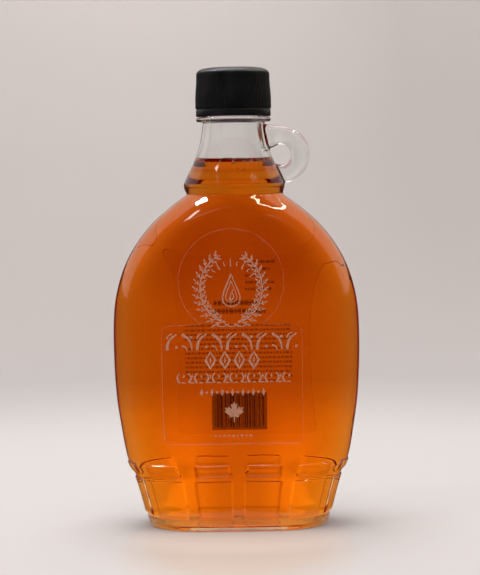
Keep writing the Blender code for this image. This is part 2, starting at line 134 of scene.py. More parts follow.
@dataclass(frozen=True)
class JugShape:
    """Outside and inside form of the blown flask and its neck."""

    flask: tuple[tuple[float, float, float], ...] = (
        (0.0045, 0.0365, 0.0206),
        (0.0130, 0.0387, 0.0212),
        (0.0205, 0.0410, 0.0217),
        (0.0245, 0.0431, 0.0221),
        (0.0290, 0.0445, 0.0224),
        (0.0380, 0.0461, 0.0227),
        (0.0520, 0.0480, 0.0230),
        (0.0720, 0.0488, 0.0231),
        (0.0880, 0.0481, 0.0230),
        (0.1004, 0.0451, 0.0228),
        (0.1100, 0.0405, 0.0225),
        (0.1195, 0.0333, 0.0217),
        (0.1266, 0.0254, 0.0205),
        (0.1313, 0.0190, 0.0189),
    )
    neck: tuple[tuple[float, float], ...] = (
        (0.1317, 0.0188),
        (0.1333, 0.0196),
        (0.1352, 0.0199),
        (0.1372, 0.0191),
        (0.1405, 0.0176),
        (0.1440, 0.0159),
        (0.1480, 0.0143),
        (0.1525, 0.0131),
        (0.1565, 0.0124),
        (0.1598, 0.0120),
    )
    throat: tuple[tuple[float, float, float], ...] = (
        (0.1195, 0.0298, 0.0189),
        (0.1230, 0.0254, 0.0183),
        (0.1266, 0.0210, 0.0176),
        (0.1315, 0.0166, 0.0162),
        (0.1360, 0.0162, 0.0161),
        (0.1405, 0.0147, 0.0147),
        (0.1440, 0.0131, 0.0131),
        (0.1480, 0.0116, 0.0116),
        (0.1525, 0.0104, 0.0104),
        (0.1570, 0.0097, 0.0097),
        (0.1620, 0.0094, 0.0094),
    )
    wall: float = 0.0027
    contact: tuple[float, float] = (0.0340, 0.0186)
    push_up: float = 0.0016
    floor_edge: float = 0.0018
    floor_crown: float = 0.0006
    floor_corner: float = 0.0062
    throat_rows: int = 44
    body_rows: int = 50
    body_top_drop: float = 0.002
    floor_shares: tuple[float, ...] = (0.92, 0.82, 0.70, 0.56, 0.42, 0.28, 0.14, 0.04)

    def outer(self, height: np.ndarray | float) -> tuple[np.ndarray, np.ndarray]:
        """Half width and half depth of the outside, without the raised panels.

        Args:
            height: Heights above the table.

        Returns:
            The half widths and the half depths.
        """
        place = np.asarray(height, float)
        foot, top = self.flask[0], self.flask[-1][0]
        lean = 1.0 - np.clip(place / foot[0], 0.0, 1.0)
        heel = np.sqrt(np.clip(1.0 - lean**2, 0.0, 1.0))
        neck = profile_of(self.neck, 1).at(place)
        sizes = []
        for column in (1, 2):
            side = profile_of(self.flask, column).at(place)
            low = self.contact[column - 1]
            body = np.where(place < foot[0], low + (foot[column] - low) * heel, side)
            sizes.append(np.where(place > top, neck, body))
        return sizes[0], sizes[1]

    def inner(self, height: np.ndarray | float) -> tuple[np.ndarray, np.ndarray]:
        """Half width and half depth of the space inside.

        Args:
            height: Heights above the table.

        Returns:
            The half widths and the half depths.
        """
        place = np.asarray(height, float)
        reach = 0.001
        corner_top = self.floor_edge + self.floor_corner
        turn = np.clip((corner_top - place) / self.floor_corner, 0.0, 1.0)
        lean = self.floor_corner * (1.0 - np.sqrt(1.0 - turn**2))
        sizes = []
        for column in (1, 2):
            side = profile_of(self.flask, column)
            slant = np.hypot(1.0, (side.at(place + reach) - side.at(place - reach)) / (2.0 * reach))
            body = side.at(place) - self.wall * slant - lean
            throat = profile_of(self.throat, column).at(place)
            sizes.append(np.where(place >= self.throat[0][0], throat, body))
        return sizes[0], sizes[1]

    def face_depth(self, across: np.ndarray, height: np.ndarray) -> np.ndarray:
        """How far the flask's broad face stands from the middle plane.

        Args:
            across: Places along X.
            height: Heights above the table.

        Returns:
            The distance from the middle plane at each place.
        """
        return face_rise(across, *self.outer(height))

    def on_face(self, face: Face, across: np.ndarray, height: np.ndarray, proud: float) -> np.ndarray:
        """Points on a broad face of the flask, or standing proud of it.

        Args:
            face: Front or back.
            across: Places along X.
            height: Heights above the table.
            proud: Distance out from the glass.

        Returns:
            One row of X, Y and Z for each place.
        """
        reach = 0.0002
        depth = self.face_depth(across, height)
        lean_x = self.face_depth(across + reach, height) - self.face_depth(across - reach, height)
        lean_z = self.face_depth(across, height + reach) - self.face_depth(across, height - reach)
        out = np.full_like(lean_x, face.value)
        normal = np.stack([-lean_x / (2 * reach), out, -lean_z / (2 * reach)], axis=-1)
        normal /= np.linalg.norm(normal, axis=-1, keepdims=True)
        return np.stack([across, face.value * depth, height], axis=-1) + proud * normal


@dataclass(frozen=True)
class PanelRelief:
    """Two rows of raised panels round the foot, in twelve columns, and the mould's side seams."""

    pitch: float = 0.0184
    slope: float = 0.0006
    side_slope: float = 0.0014
    foot_slope: float = 0.0018
    tall: tuple[float, float] = (0.0046, 0.0203)
    tall_raise: float = 0.0006
    tall_half_gap: float = 0.0017
    brick: tuple[float, float] = (0.0213, 0.0266)
    brick_raise: float = 0.0006
    brick_half_gap: float = 0.0026
    reference_height: float = 0.015
    seam_raise: float = 0.00008
    seam_width: float = 0.00035
    unevenness: tuple[tuple[float, float, float], ...] = ((0.00009, 9.0, 900.0), (0.00006, 23.0, -500.0))
    girth_steps: int = 1441
    half_columns: tuple[float, ...] = (
        0.0, 0.0003, 0.0007, 0.0012, 0.0017, 0.00187, 0.00203, 0.0022, 0.0024, 0.0026, 0.00277, 0.00293,
        0.0031, 0.0034, 0.0038, 0.0048, 0.0066,
    )

    def girth(self, shape: JugShape) -> tuple[np.ndarray, np.ndarray]:
        """Angles round the foot and the girth travelled to each, from the middle of the front.

        Args:
            shape: The flask.

        Returns:
            The angles and the girth at each.
        """
        angles = np.radians(np.linspace(-90.0, 270.0, self.girth_steps))
        width, depth = shape.outer(self.reference_height)
        points = oval_points(angles, width, depth)
        steps = np.hypot(*np.diff(points, axis=0).T)
        return angles, np.concatenate([[0.0], np.cumsum(steps)])

    def columns(self, shape: JugShape) -> tuple[np.ndarray, np.ndarray, np.ndarray]:
        """Columns of the outer skin, close together on the panels' edges.

        Args:
            shape: The flask.

        Returns:
            The angle of each column, and its distance from the nearest gap's middle and side seam.
        """
        angles, girths = self.girth(shape)
        quarter = girths[-1] / 4.0
        first = [0.0, self.pitch, 2.0 * self.pitch]
        half = first + [quarter] + [2.0 * quarter - s for s in reversed(first[1:])]
        bounds = half + [s + 2.0 * quarter for s in half] + [girths[-1]]
        places, gaps = [], []
        for start, end in zip(bounds, bounds[1:]):
            size = end - start
            near = list(self.half_columns)
            for place in near + [size / 2.0] + [size - s for s in reversed(near[1:])]:
                places.append(start + place)
                gaps.append(min(place, size - place))
        seam = np.minimum(*(np.abs(np.asarray(places) - s) for s in (quarter, 3.0 * quarter)))
        return np.interp(places, girths, angles), np.asarray(gaps), seam

    def lift(self, gap: np.ndarray, seam: np.ndarray, turn: np.ndarray, height: float) -> np.ndarray:
        """How far the glass stands out at each column.

        Args:
            gap: Distance of each column from the nearest gap's middle.
            seam: Distance of each column from the nearest side seam.
            turn: Angle of each column, for the moulding's slight unevenness.
            height: Height above the table.

        Returns:
            The lift of each column.
        """
        uneven = sum(size * np.sin(waves * turn + climb * height) for size, waves, climb in self.unevenness)
        total = self.seam_raise * np.exp(-((seam / self.seam_width) ** 2))
        rows = (
            (self.tall, self.tall_raise, self.tall_half_gap),
            (self.brick, self.brick_raise, self.brick_half_gap),
        )
        for (low, high), rise, half_gap in rows:
            across = smooth_step(half_gap, half_gap + self.side_slope, gap + uneven)
            place = height + uneven
            up = smooth_step(low, low + self.foot_slope, place)
            down = smooth_step(high - self.slope, high, place)
            total = total + rise * across * (up * (1.0 - down))
        return total


def round_end(across: np.ndarray, width: np.ndarray | float,
              depth: np.ndarray | float) -> tuple[np.ndarray, np.ndarray, np.ndarray]:
    """Round end of the section, down to the neck's circle where it is hardly wider than deep.

    Args:
        across: Places along X.
        width: Half width.
        depth: Half depth.

    Returns:
        The length of the end, its power, and how far along it each place lies, from 0 to 1.
    """
    reach = np.clip(np.asarray(width) / depth, 1.0, END_REACH)
    run = np.minimum(reach * depth, width)
    inwards = np.clip(1.0 - (width - np.abs(across)) / run, 0.0, 1.0)
    return run, 2.0 + END_POWER_GAIN * (reach - 1.0), inwards


def face_rise(across: np.ndarray, width: np.ndarray | float, depth: np.ndarray | float) -> np.ndarray:
    """How far the section stands from its long axis.

    Args:
        across: Places along X.
        width: Half width.
        depth: Half depth.

    Returns:
        The distance at each place.
    """
    _, power, inwards = round_end(across, width, depth)
    return depth * np.sqrt(1.0 - np.minimum(inwards, END_LIMIT) ** power)


def oval_points(angles: np.ndarray, width: float, depth: float) -> np.ndarray:
    """Points of the flat-faced oval with round ends.

    Args:
        angles: Angles round it, where -90 degrees is the front.
        width: Half width.
        depth: Half depth.

    Returns:
        One row of X and Y for each angle.
    """
    across = np.cos(angles) * width
    _, power, inwards = round_end(across, width, depth)
    rise = depth * np.sqrt(1.0 - inwards**power)
    return np.stack([across, np.sign(np.sin(angles)) * rise], axis=-1)


def oval_normals(points: np.ndarray, width: float, depth: float) -> np.ndarray:
    """Directions straight out of the oval.

    Args:
        points: Points on it.
        width: Half width.
        depth: Half depth.

    Returns:
        One unit X and Y for each point.
    """
    run, power, inwards = round_end(points[:, 0], width, depth)
    across = np.sign(points[:, 0]) * power * inwards ** (power - 1.0) / run
    out = np.stack([across, 2.0 * points[:, 1] / depth**2], axis=-1)
    return out / np.linalg.norm(out, axis=-1, keepdims=True)


def round_ring(angles: np.ndarray, radius: float, height: float) -> np.ndarray:
    """Places round a level circle on the jug's axis."""
    return np.column_stack([radius * np.cos(angles), radius * np.sin(angles), np.full(len(angles), height)])


def level_ring(flat: np.ndarray, height: float) -> np.ndarray:
    """Lift flat places to a height."""
    return np.column_stack([flat, np.full(len(flat), height)])


def quarter_round(middle: tuple[float, float], radius: float, first: float) -> list[tuple[float, float]]:
    """Five places along a quarter of a circle.

    Args:
        middle: Its middle.
        radius: Its radius.
        first: Angle where it starts, in degrees.

    Returns:
        The places, anticlockwise.
    """
    turns = [math.radians(first + 22.5 * step) for step in range(5)]
    return [(middle[0] + radius * math.cos(turn), middle[1] + radius * math.sin(turn)) for turn in turns]


class Skin:
    """A closed surface lofted ring by ring."""

    def __init__(self) -> None:
        """Start with no points."""
        self.points: list[np.ndarray] = []
        self.faces: list[tuple[int, ...]] = []
        self.count = 0
        self.last: np.ndarray | None = None

    def add_ring(self, points: np.ndarray) -> None:
        """Join a ring to the one before it, which has as many points or twice as many.

        Args:
            points: One row of X, Y and Z for each point.
        """
        ring = np.arange(len(points)) + self.count
        self.points.append(points)
        self.count += len(points)
        if self.last is not None:
            self._join(self.last, ring)
        self.last = ring

    def _join(self, before: np.ndarray, ring: np.ndarray) -> None:
        """Make the faces between two rings.

        Args:
            before: Point numbers of the earlier ring.
            ring: Point numbers of the later ring.
        """
        after = np.roll(ring, -1)
        if len(before) == len(ring):
            quads = np.stack([before, np.roll(before, -1), after, ring], axis=-1)
            self.faces += map(tuple, quads.tolist())
            return
        low, middle, high = before[0::2], before[1::2], np.roll(before, -2)[0::2]
        for corners in ((low, middle, ring), (middle, after, ring), (middle, high, after)):
            self.faces += map(tuple, np.stack(corners, axis=-1).tolist())

    def add_pole(self, height: float) -> None:
        """Close the last ring with a fan to a point on the axis.

        Args:
            height: Height of that point.
        """
        self.points.append(np.array([[0.0, 0.0, height]]))
        after = np.roll(self.last, -1)
        self.faces += [(a, b, self.count) for a, b in zip(self.last.tolist(), after.tolist())]
        self.count += 1

    def make(self, name: str) -> bpy.types.Object:
        """Turn the skin into an object with its faces pointing out.

        Args:
            name: Name of the object.

        Returns:
            The object.
        """
        return object_from(name, np.concatenate(self.points), self.faces)


def object_from(name: str, points: np.ndarray, faces: Iterable[Sequence[int]]) -> bpy.types.Object:
    """Make a smooth object from points and faces.

    Args:
        name: Name of the object.
        points: One row of X, Y and Z for each point.
        faces: Point numbers of each face.

    Returns:
        The object, linked to the scene.
    """
    data = bpy.data.meshes.new(name)
    data.from_pydata(points.tolist(), [], faces)
    mesh = bmesh.new()
    mesh.from_mesh(data)
    bmesh.ops.recalc_face_normals(mesh, faces=mesh.faces)
    mesh.to_mesh(data)
    mesh.free()
    obj = bpy.data.objects.new(name, data)
    bpy.context.scene.collection.objects.link(obj)
    data.shade_smooth()
    return obj


def settle(piece: bpy.types.Object, material: bpy.types.Material, slot: str, *nodes: str) -> None:
    """Dress a piece, set it on the jug's body and log it.

    Args:
        piece: The piece.
        material: Its finish.
        slot: The record's material slot; not used.
        nodes: CAD nodes that it stands for.
    """
    piece.data.materials.clear()
    piece.data.materials.append(material)
    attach(piece, BODY)
    if nodes:
        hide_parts(*nodes)
    LOG.info("%s: %d faces", piece.name, len(piece.data.polygons))


class ShaderBench:
    """Builds one material node by node."""

    def __init__(self, name: str) -> None:
        """Start a material with its Principled shader.

        Args:
            name: Name of the material.
        """
        self.material = bpy.data.materials.new(name)
        self.material.use_nodes = True
        self.tree = self.material.node_tree
        self.shader = self.tree.nodes["Principled BSDF"]
        self.output = self.tree.nodes["Material Output"]
        self.place = self.add("ShaderNodeTexCoord").outputs["Object"]

    def add(self, kind: str, **sockets: object) -> bpy.types.Node:
        """Add a node.

        Args:
            kind: Blender's name for it.
            sockets: Values of its inputs, with underscores for spaces.

        Returns:
            The node.
        """
        node = self.tree.nodes.new(kind)
        for name, value in sockets.items():
            node.inputs[name.replace("_", " ")].default_value = value
        return node

    def join(self, source: bpy.types.NodeSocket, target: bpy.types.NodeSocket) -> None:
        """Link two sockets."""
        self.tree.links.new(source, target)

    def set(self, **values: object) -> None:
        """Set plain values on the shader's own sockets, with underscores for spaces."""
        for name, value in values.items():
            self.shader.inputs[name.replace("_", " ")].default_value = value

    def noise(self, size: float, detail: float = 2.0,
              stretch: Place = (1.0, 1.0, 1.0)) -> bpy.types.NodeSocket:
        """Noise whose patches are about a size across.

        Args:
            size: Size of a patch.
            detail: Octaves of finer noise.
            stretch: How many times longer the patches are along each axis.

        Returns:
            The noise's socket, from 0 to 1.
        """
        mapping = self.add("ShaderNodeMapping")
        mapping.inputs["Scale"].default_value = [1.0 / (size * s) for s in stretch]
        noise = self.add("ShaderNodeTexNoise", Scale=1.0, Detail=detail)
        self.join(self.place, mapping.inputs["Vector"])
        self.join(mapping.outputs["Vector"], noise.inputs["Vector"])
        return noise.outputs["Fac"]

    def ramp(self, source: bpy.types.NodeSocket,
             stops: Sequence[tuple[float, Colour]]) -> bpy.types.NodeSocket:
        """Map a 0 to 1 value to colours.

        Args:
            source: The value.
            stops: Places and colours.

        Returns:
            The colour's socket.
        """
        ramp = self.add("ShaderNodeValToRGB")
        while len(ramp.color_ramp.elements) < len(stops):
            ramp.color_ramp.elements.new(1.0)
        for element, (place, colour) in zip(ramp.color_ramp.elements, stops):
            element.position = place
            element.color = (*colour, 1.0)
        self.join(source, ramp.inputs["Fac"])
        return ramp.outputs["Color"]

    def math(self, operation: str, *values: bpy.types.NodeSocket | float) -> bpy.types.NodeSocket:
        """Reckon with sockets and numbers.

        Args:
            operation: Blender's name for it.
            values: What it works on.

        Returns:
            The result's socket.
        """
        node = self.add("ShaderNodeMath")
        node.operation = operation
        for socket, value in zip(node.inputs, values):
            if isinstance(value, (int, float)):
                socket.default_value = value
            else:
                self.join(value, socket)
        return node.outputs["Value"]

    def span(self, source: bpy.types.NodeSocket, low: float, high: float, starts: float = 0.3,
             ends: float = 0.7) -> bpy.types.NodeSocket:
        """Spread a value over a range.

        Args:
            source: The value, such as a noise.
            low: Result where it is at starts.
            high: Result where it is at ends.
            starts: Level that gives the low result.
            ends: Level that gives the high result.

        Returns:
            The value's socket.
        """
        node = self.add("ShaderNodeMapRange", From_Min=starts, From_Max=ends, To_Min=low, To_Max=high)
        self.join(source, node.inputs["Value"])
        return node.outputs["Result"]

    def mute(self) -> None:
        """Take away the mirror shine where the wetted mark says that a surface lies inside another solid."""
        wet = self.add("ShaderNodeAttribute")
        wet.attribute_name = WET
        shine = self.ramp(wet.outputs["Fac"], ((0.2, (1.0, 1.0, 1.0)), (0.8, (0.0, 0.0, 0.0))))
        self.join(shine, self.shader.inputs["Specular Tint"])

    def square_sum(self, first: bpy.types.NodeSocket, second: bpy.types.NodeSocket) -> bpy.types.NodeSocket:
        """Length of the line whose two parts are given."""
        squares = [self.math("POWER", part, 2.0) for part in (first, second)]
        return self.math("SQRT", self.math("ADD", *squares))

    def bump(self, layers: Sequence[tuple[bpy.types.NodeSocket, float]]) -> None:
        """Raise the surface by noise.

        Args:
            layers: Noise sockets and the height of each, in metres.
        """
        normal = None
        for source, height in layers:
            node = self.add("ShaderNodeBump", Strength=1.0, Distance=height)
            self.join(source, node.inputs["Height"])
            if normal is not None:
                self.join(normal, node.inputs["Normal"])
            normal = node.outputs["Normal"]
        self.join(normal, self.shader.inputs["Normal"])


@dataclass(frozen=True)
class GlassFinish:
    """Clear blown glass, faintly grey-green where it is thick."""

    ior: float = 1.52
    tint: Colour = (0.62, 0.70, 0.62)
    density: float = 28.0
    ripple_size: float = 0.013
    ripple_height: float = 0.00003
    ripple_stretch: Place = (1.0, 1.0, 0.6)
    fine_size: float = 0.00325
    fine_height: float = 0.0000025
    roughest: float = 0.012

    def material(self) -> bpy.types.Material:
        """Make the material."""
        bench = ShaderBench("clear_glass_finish")
        bench.set(Base_Color=(1.0, 1.0, 1.0, 1.0), Transmission_Weight=1.0, IOR=self.ior)
        bench.join(bench.span(bench.noise(0.02), 0.0, self.roughest), bench.shader.inputs["Roughness"])
        ripple = bench.noise(self.ripple_size, 1.0, self.ripple_stretch)
        fine = bench.noise(self.fine_size, 1.0)
        bench.bump([(ripple, self.ripple_height), (fine, self.fine_height)])
        bench.mute()
        absorb = bench.add("ShaderNodeVolumeAbsorption", Color=(*self.tint, 1.0), Density=self.density)
        bench.join(absorb.outputs["Volume"], bench.output.inputs["Volume"])
        return bench.material


@dataclass(frozen=True)
class SyrupFinish:
    """Clear amber syrup, coloured by the depth of liquid that the light crosses."""

    ior: float = 1.47
    tint: Colour = (0.9640, 0.690, 0.02)
    density: float = 172.0

    def material(self) -> bpy.types.Material:
        """Make the material."""
        bench = ShaderBench("amber_syrup_finish")
        bench.set(Base_Color=(1.0, 1.0, 1.0, 1.0), Transmission_Weight=1.0, IOR=self.ior, Roughness=0.0)
        bench.mute()
        absorb = bench.add("ShaderNodeVolumeAbsorption", Color=(*self.tint, 1.0), Density=self.density)
        bench.join(absorb.outputs["Volume"], bench.output.inputs["Volume"])
        return bench.material


@dataclass(frozen=True)
class BubbleFinish:
    """Air held in the syrup."""

    ior: float = 0.68

    def material(self) -> bpy.types.Material:
        """Make the material."""
        bench = ShaderBench("air_bubble_finish")
        bench.set(Base_Color=(1.0, 1.0, 1.0, 1.0), Transmission_Weight=1.0, IOR=self.ior)
        bench.join(bench.span(bench.noise(0.001), 0.0, 0.05), bench.shader.inputs["Roughness"])
        return bench.material


@dataclass(frozen=True)
class CapFinish:
    """Black moulded plastic, satin, with handling marks and a little dust."""

    colour: Colour = (0.0052, 0.0052, 0.0058)
    worn: Colour = (0.013, 0.013, 0.014)
    dust: Colour = (0.30, 0.29, 0.27)
    dust_share: float = 0.80
    dust_fade: float = 0.03
    roughness: tuple[float, float] = (0.32, 0.48)

    def material(self) -> bpy.types.Material:
        """Make the material."""
        bench = ShaderBench("black_cap_finish")
        patches = bench.noise(0.004, 4.0)
        plastic = bench.ramp(patches, ((0.35, self.colour), (0.75, self.worn)))
        specks = bench.noise(0.00045, 1.0)
        amount = bench.span(specks, 0.0, 1.0, self.dust_share, self.dust_share + self.dust_fade)
        mix = bench.add("ShaderNodeMix")
        mix.data_type = "RGBA"
        bench.join(amount, mix.inputs["Factor"])
        bench.join(plastic, mix.inputs["A"])
        mix.inputs["B"].default_value = (*self.dust, 1.0)
        bench.join(mix.outputs["Result"], bench.shader.inputs["Base Color"])
        bench.join(bench.span(patches, *self.roughness), bench.shader.inputs["Roughness"])
        bench.bump([(bench.noise(0.0006, 3.0), 0.00001), (specks, 0.00001)])
        return bench.material


@dataclass(frozen=True)
class FilmFinish:
    """Clear label film."""

    ior: float = 1.50
    colour: Colour = (0.97, 0.95, 0.94)

    def material(self) -> bpy.types.Material:
        """Make the material."""
        bench = ShaderBench("clear_film_finish")
        bench.set(Base_Color=(*self.colour, 1.0), Transmission_Weight=1.0, IOR=self.ior)
        bench.join(bench.span(bench.noise(0.006, 3.0), 0.0, 0.02), bench.shader.inputs["Roughness"])
        bench.mute()
        return bench.material


@dataclass(frozen=True)
class InkFinish:
    """Printing ink on the film, a little uneven where it went on thin."""

    name: str
    full: Colour
    thin: Colour
    cover: float = 1.0

    def material(self) -> bpy.types.Material:
        """Make the material."""
        bench = ShaderBench(self.name)
        cloud = bench.noise(0.0016, 4.0)
        shade = bench.ramp(cloud, ((0.35, self.thin), (0.6, self.full)))
        bench.join(shade, bench.shader.inputs["Base Color"])
        bench.join(bench.span(cloud, 0.55, 0.38), bench.shader.inputs["Roughness"])
        bench.bump([(bench.noise(0.0004, 2.0), 0.000006)])
        bench.set(Alpha=self.cover)
        return bench.material


@dataclass(frozen=True)
class BackdropFinish:
    """Matt pale card with painted light: brightness painted to fall off with distance, painted shade towards
    the far wall's sides, and the jug's amber light and the table's gleam painted under and before it.
    """

    colour: Colour = (0.80, 0.765, 0.755)
    # Painted light: how bright the card is painted at each distance along the floor and up the wall.
    painted_light_falloff: tuple[tuple[float, float], ...] = (
        (0.00, 1.06), (0.05, 1.04), (0.14, 1.00), (0.26, 1.00), (0.34, 0.955), (0.42, 0.90), (0.52, 0.875),
        (0.66, 0.93), (0.82, 0.955), (1.08, 0.99), (1.30, 1.03), (1.51, 1.10), (1.70, 1.19),
    )
    span: float = 1.8
    # Painted shade: the far wall is painted darker towards its sides, least at side_middle.
    painted_side_shade: float = 2.0
    side_middle: float = -0.12
    side_limit: float = 0.09
    side_starts: float = 0.6
    side_ends: float = 1.4
    # Painted light: a warm tint on the floor before the jug, standing in for the amber light that passes
    # through the syrup.
    painted_amber_light: Levels = (
        (0.0, (1.0, 0.86, 0.75)), (0.60, (1.0, 0.88, 0.78)),
        (0.80, (1.0, 0.94, 0.89)), (1.0, (1.0, 1.0, 1.0)),
    )
    painted_amber_light_reach: Place = (0.049, 0.075, -0.050)
    # Painted light: a pale glow on the floor just before the jug.
    gleam: Levels = (
        (0.0, (0.16, 0.13, 0.12)), (0.55, (0.13, 0.105, 0.097)), (1.0, (0.0, 0.0, 0.0)),
    )
    gleam_reach: Place = (0.050, 0.034, -0.034)
    # Painted light: an amber glow on the floor under the jug.
    shine: Levels = (
        (0.0, (0.46, 0.21, 0.012)), (0.88, (0.40, 0.18, 0.012)), (1.0, (0.0, 0.0, 0.0)),
    )
    shine_reach: Place = (0.0345, 0.0190, 0.0)

    def _oval(self, bench: ShaderBench, parts: bpy.types.Node, reach: Place) -> bpy.types.NodeSocket:
        """Reckon how far a place is from an oval's middle, from 0 to 1 at its rim.

        Args:
            bench: Where the nodes go.
            parts: The place, taken apart.
            reach: Half width and half depth of the oval, and its middle along Y.

        Returns:
            The distance's socket.
        """
        across = bench.math("DIVIDE", parts.outputs["X"], reach[0])
        along = bench.math("DIVIDE", bench.math("SUBTRACT", parts.outputs["Y"], reach[2]), reach[1])
        return bench.square_sum(across, along)

    def material(self) -> bpy.types.Material:
        """Make the material."""
        bench = ShaderBench("backdrop_card")
        parts = bench.add("ShaderNodeSeparateXYZ")
        bench.join(bench.place, parts.inputs["Vector"])
        flat = bench.square_sum(parts.outputs["X"], parts.outputs["Y"])
        reach = bench.math("DIVIDE", bench.math("ADD", flat, parts.outputs["Z"]), self.span)
        uneven = bench.math("ADD", reach, bench.span(bench.noise(0.05, 3.0), -0.004, 0.004))
        # Painted light falloff by distance, put into the base colour.
        stops = [(at / self.span, tuple(value * shade for value in self.colour)) for at, shade in self.painted_light_falloff]
        # Painted shade towards the far wall's sides, scaling the base colour.
        far = bench.span(parts.outputs["Y"], 0.0, -self.painted_side_shade, self.side_starts, self.side_ends)
        aside = bench.math("POWER", bench.math("SUBTRACT", parts.outputs["X"], self.side_middle), 2.0)
        aside = bench.math("MINIMUM", aside, self.side_limit)
        lean = bench.math("MULTIPLY_ADD", aside, far, 1.0)
        tinted = bench.add("ShaderNodeMix", Factor=1.0)
        tinted.data_type, tinted.blend_type = "RGBA", "MULTIPLY"
        bench.join(bench.ramp(uneven, stops), tinted.inputs["A"])
        bench.join(bench.ramp(self._oval(bench, parts, self.painted_amber_light_reach), self.painted_amber_light), tinted.inputs["B"])
        side_shaded = bench.add("ShaderNodeVectorMath")
        side_shaded.operation = "SCALE"
        bench.join(tinted.outputs["Result"], side_shaded.inputs[0])
        bench.join(lean, side_shaded.inputs["Scale"])
        bench.join(side_shaded.outputs["Vector"], bench.shader.inputs["Base Color"])
        # Painted light: the amber glow under the jug and the pale gleam before it, as emission.
        both = bench.add("ShaderNodeVectorMath")
        both.operation = "ADD"
        glows = ((self.shine_reach, self.shine), (self.gleam_reach, self.gleam))
        for socket, (oval, levels) in zip(both.inputs, glows):
            bench.join(bench.ramp(self._oval(bench, parts, oval), levels), socket)
        bench.join(both.outputs["Vector"], bench.shader.inputs["Emission Color"])
        bench.set(Roughness=0.9, Specular_IOR_Level=0.1, Emission_Strength=1.0)
        bench.bump([(bench.noise(0.0008, 3.0), 0.00001)])
        return bench.material


@dataclass
class FingerLoop:
    """Flat rounded ring that grows out of the neck, swept from its upper to its lower root."""

    centre: tuple[float, float] = (0.0186, 0.1468)
    outer_radius: float = 0.0113
    hole_radius: float = 0.0040
    thickness: float = 0.0060
    edge_round: float = 0.0027
    flare: float = 0.0013
    flare_span: float = 0.13
    hole_turns: tuple[float, float] = (158.0, -160.0)
    outer_turns: tuple[float, float] = (82.0, -100.0)
    upper_root: tuple[float, float] = (0.0112, 0.1590)
    lower_root: tuple[float, float] = (0.0168, 0.1362)
    root_share: float = 0.10
    lower_root_share: float = 0.06
    sink: float = 0.0016
    round_limit: float = 0.98
    steps: int = 96
    section_steps: int = 7

    def _spine(self) -> tuple[np.ndarray, np.ndarray]:
        """Inner and outer edge of the ring in the X-Z plane, paired along its length."""
        share = np.linspace(0.0, 1.0, self.steps)
        hole = np.radians(self.hole_turns[0] + (self.hole_turns[1] - self.hole_turns[0]) * share)
        centre = np.array(self.centre)
        inner = centre + self.hole_radius * np.stack([np.cos(hole), np.sin(hole)], axis=-1)
        root, low_root = self.root_share, self.lower_root_share
        turn = np.clip((share - root) / (1.0 - root - low_root), 0.0, 1.0)
        sweep = np.radians(self.outer_turns[0] + (self.outer_turns[1] - self.outer_turns[0]) * turn)
        outer = centre + self.outer_radius * np.stack([np.cos(sweep), np.sin(sweep)], axis=-1)
        upper = np.clip(1.0 - share / root, 0.0, 1.0)[:, None]
        lower = np.clip((share - 1.0 + low_root) / low_root, 0.0, 1.0)[:, None]
        up, down = np.array(self.upper_root) - outer, np.array(self.lower_root) - outer
        outer = outer + upper * up + lower * down
        return inner + np.array([-self.sink, 0.0]) * (upper + lower), outer

    def _section(self, half_width: float, half_thick: float) -> np.ndarray:
        """Rounded rectangle, as rows of width and thickness places.

        Args:
            half_width: Half its size across the ring.
            half_thick: Half its size along Y.

        Returns:
            Its points in order.
        """
        radius = min(self.edge_round, half_width * self.round_limit, half_thick * self.round_limit)
        points = []
        for corner in range(4):
            across = 1.0 if corner in (0, 3) else -1.0
            along = 1.0 if corner in (0, 1) else -1.0
            for step in range(self.section_steps):
                turn = math.radians(90.0 * (corner + step / (self.section_steps - 1)))
                points.append((
                    across * (half_width - radius) + radius * math.cos(turn),
                    along * (half_thick - radius) + radius * math.sin(turn),
                ))
        return np.array(points)

    def make(self) -> bpy.types.Object:
        """Build the closed ring, with its ends sunk in the neck's wall."""
        inner, outer = self._spine()
        share = np.linspace(0.0, 1.0, self.steps)
        ends = np.clip(1.0 - np.minimum(share, 1.0 - share) / self.flare_span, 0.0, 1.0) ** 2
        skin = Skin()
        for low, high, swell in zip(inner, outer, ends):
            middle, reach = (low + high) / 2.0, (high - low) / 2.0
            half_width = float(np.linalg.norm(reach))
            direction = reach / half_width
            section = self._section(half_width, self.thickness / 2.0 + self.flare * swell)
            x = middle[0] + section[:, 0] * direction[0]
            z = middle[1] + section[:, 0] * direction[1]
            skin.add_ring(np.stack([x, section[:, 1], z], axis=-1))
        count = len(skin.last)
        skin.faces += [tuple(range(count)), tuple(int(i) for i in skin.last)]
        return skin.make("finger_loop")


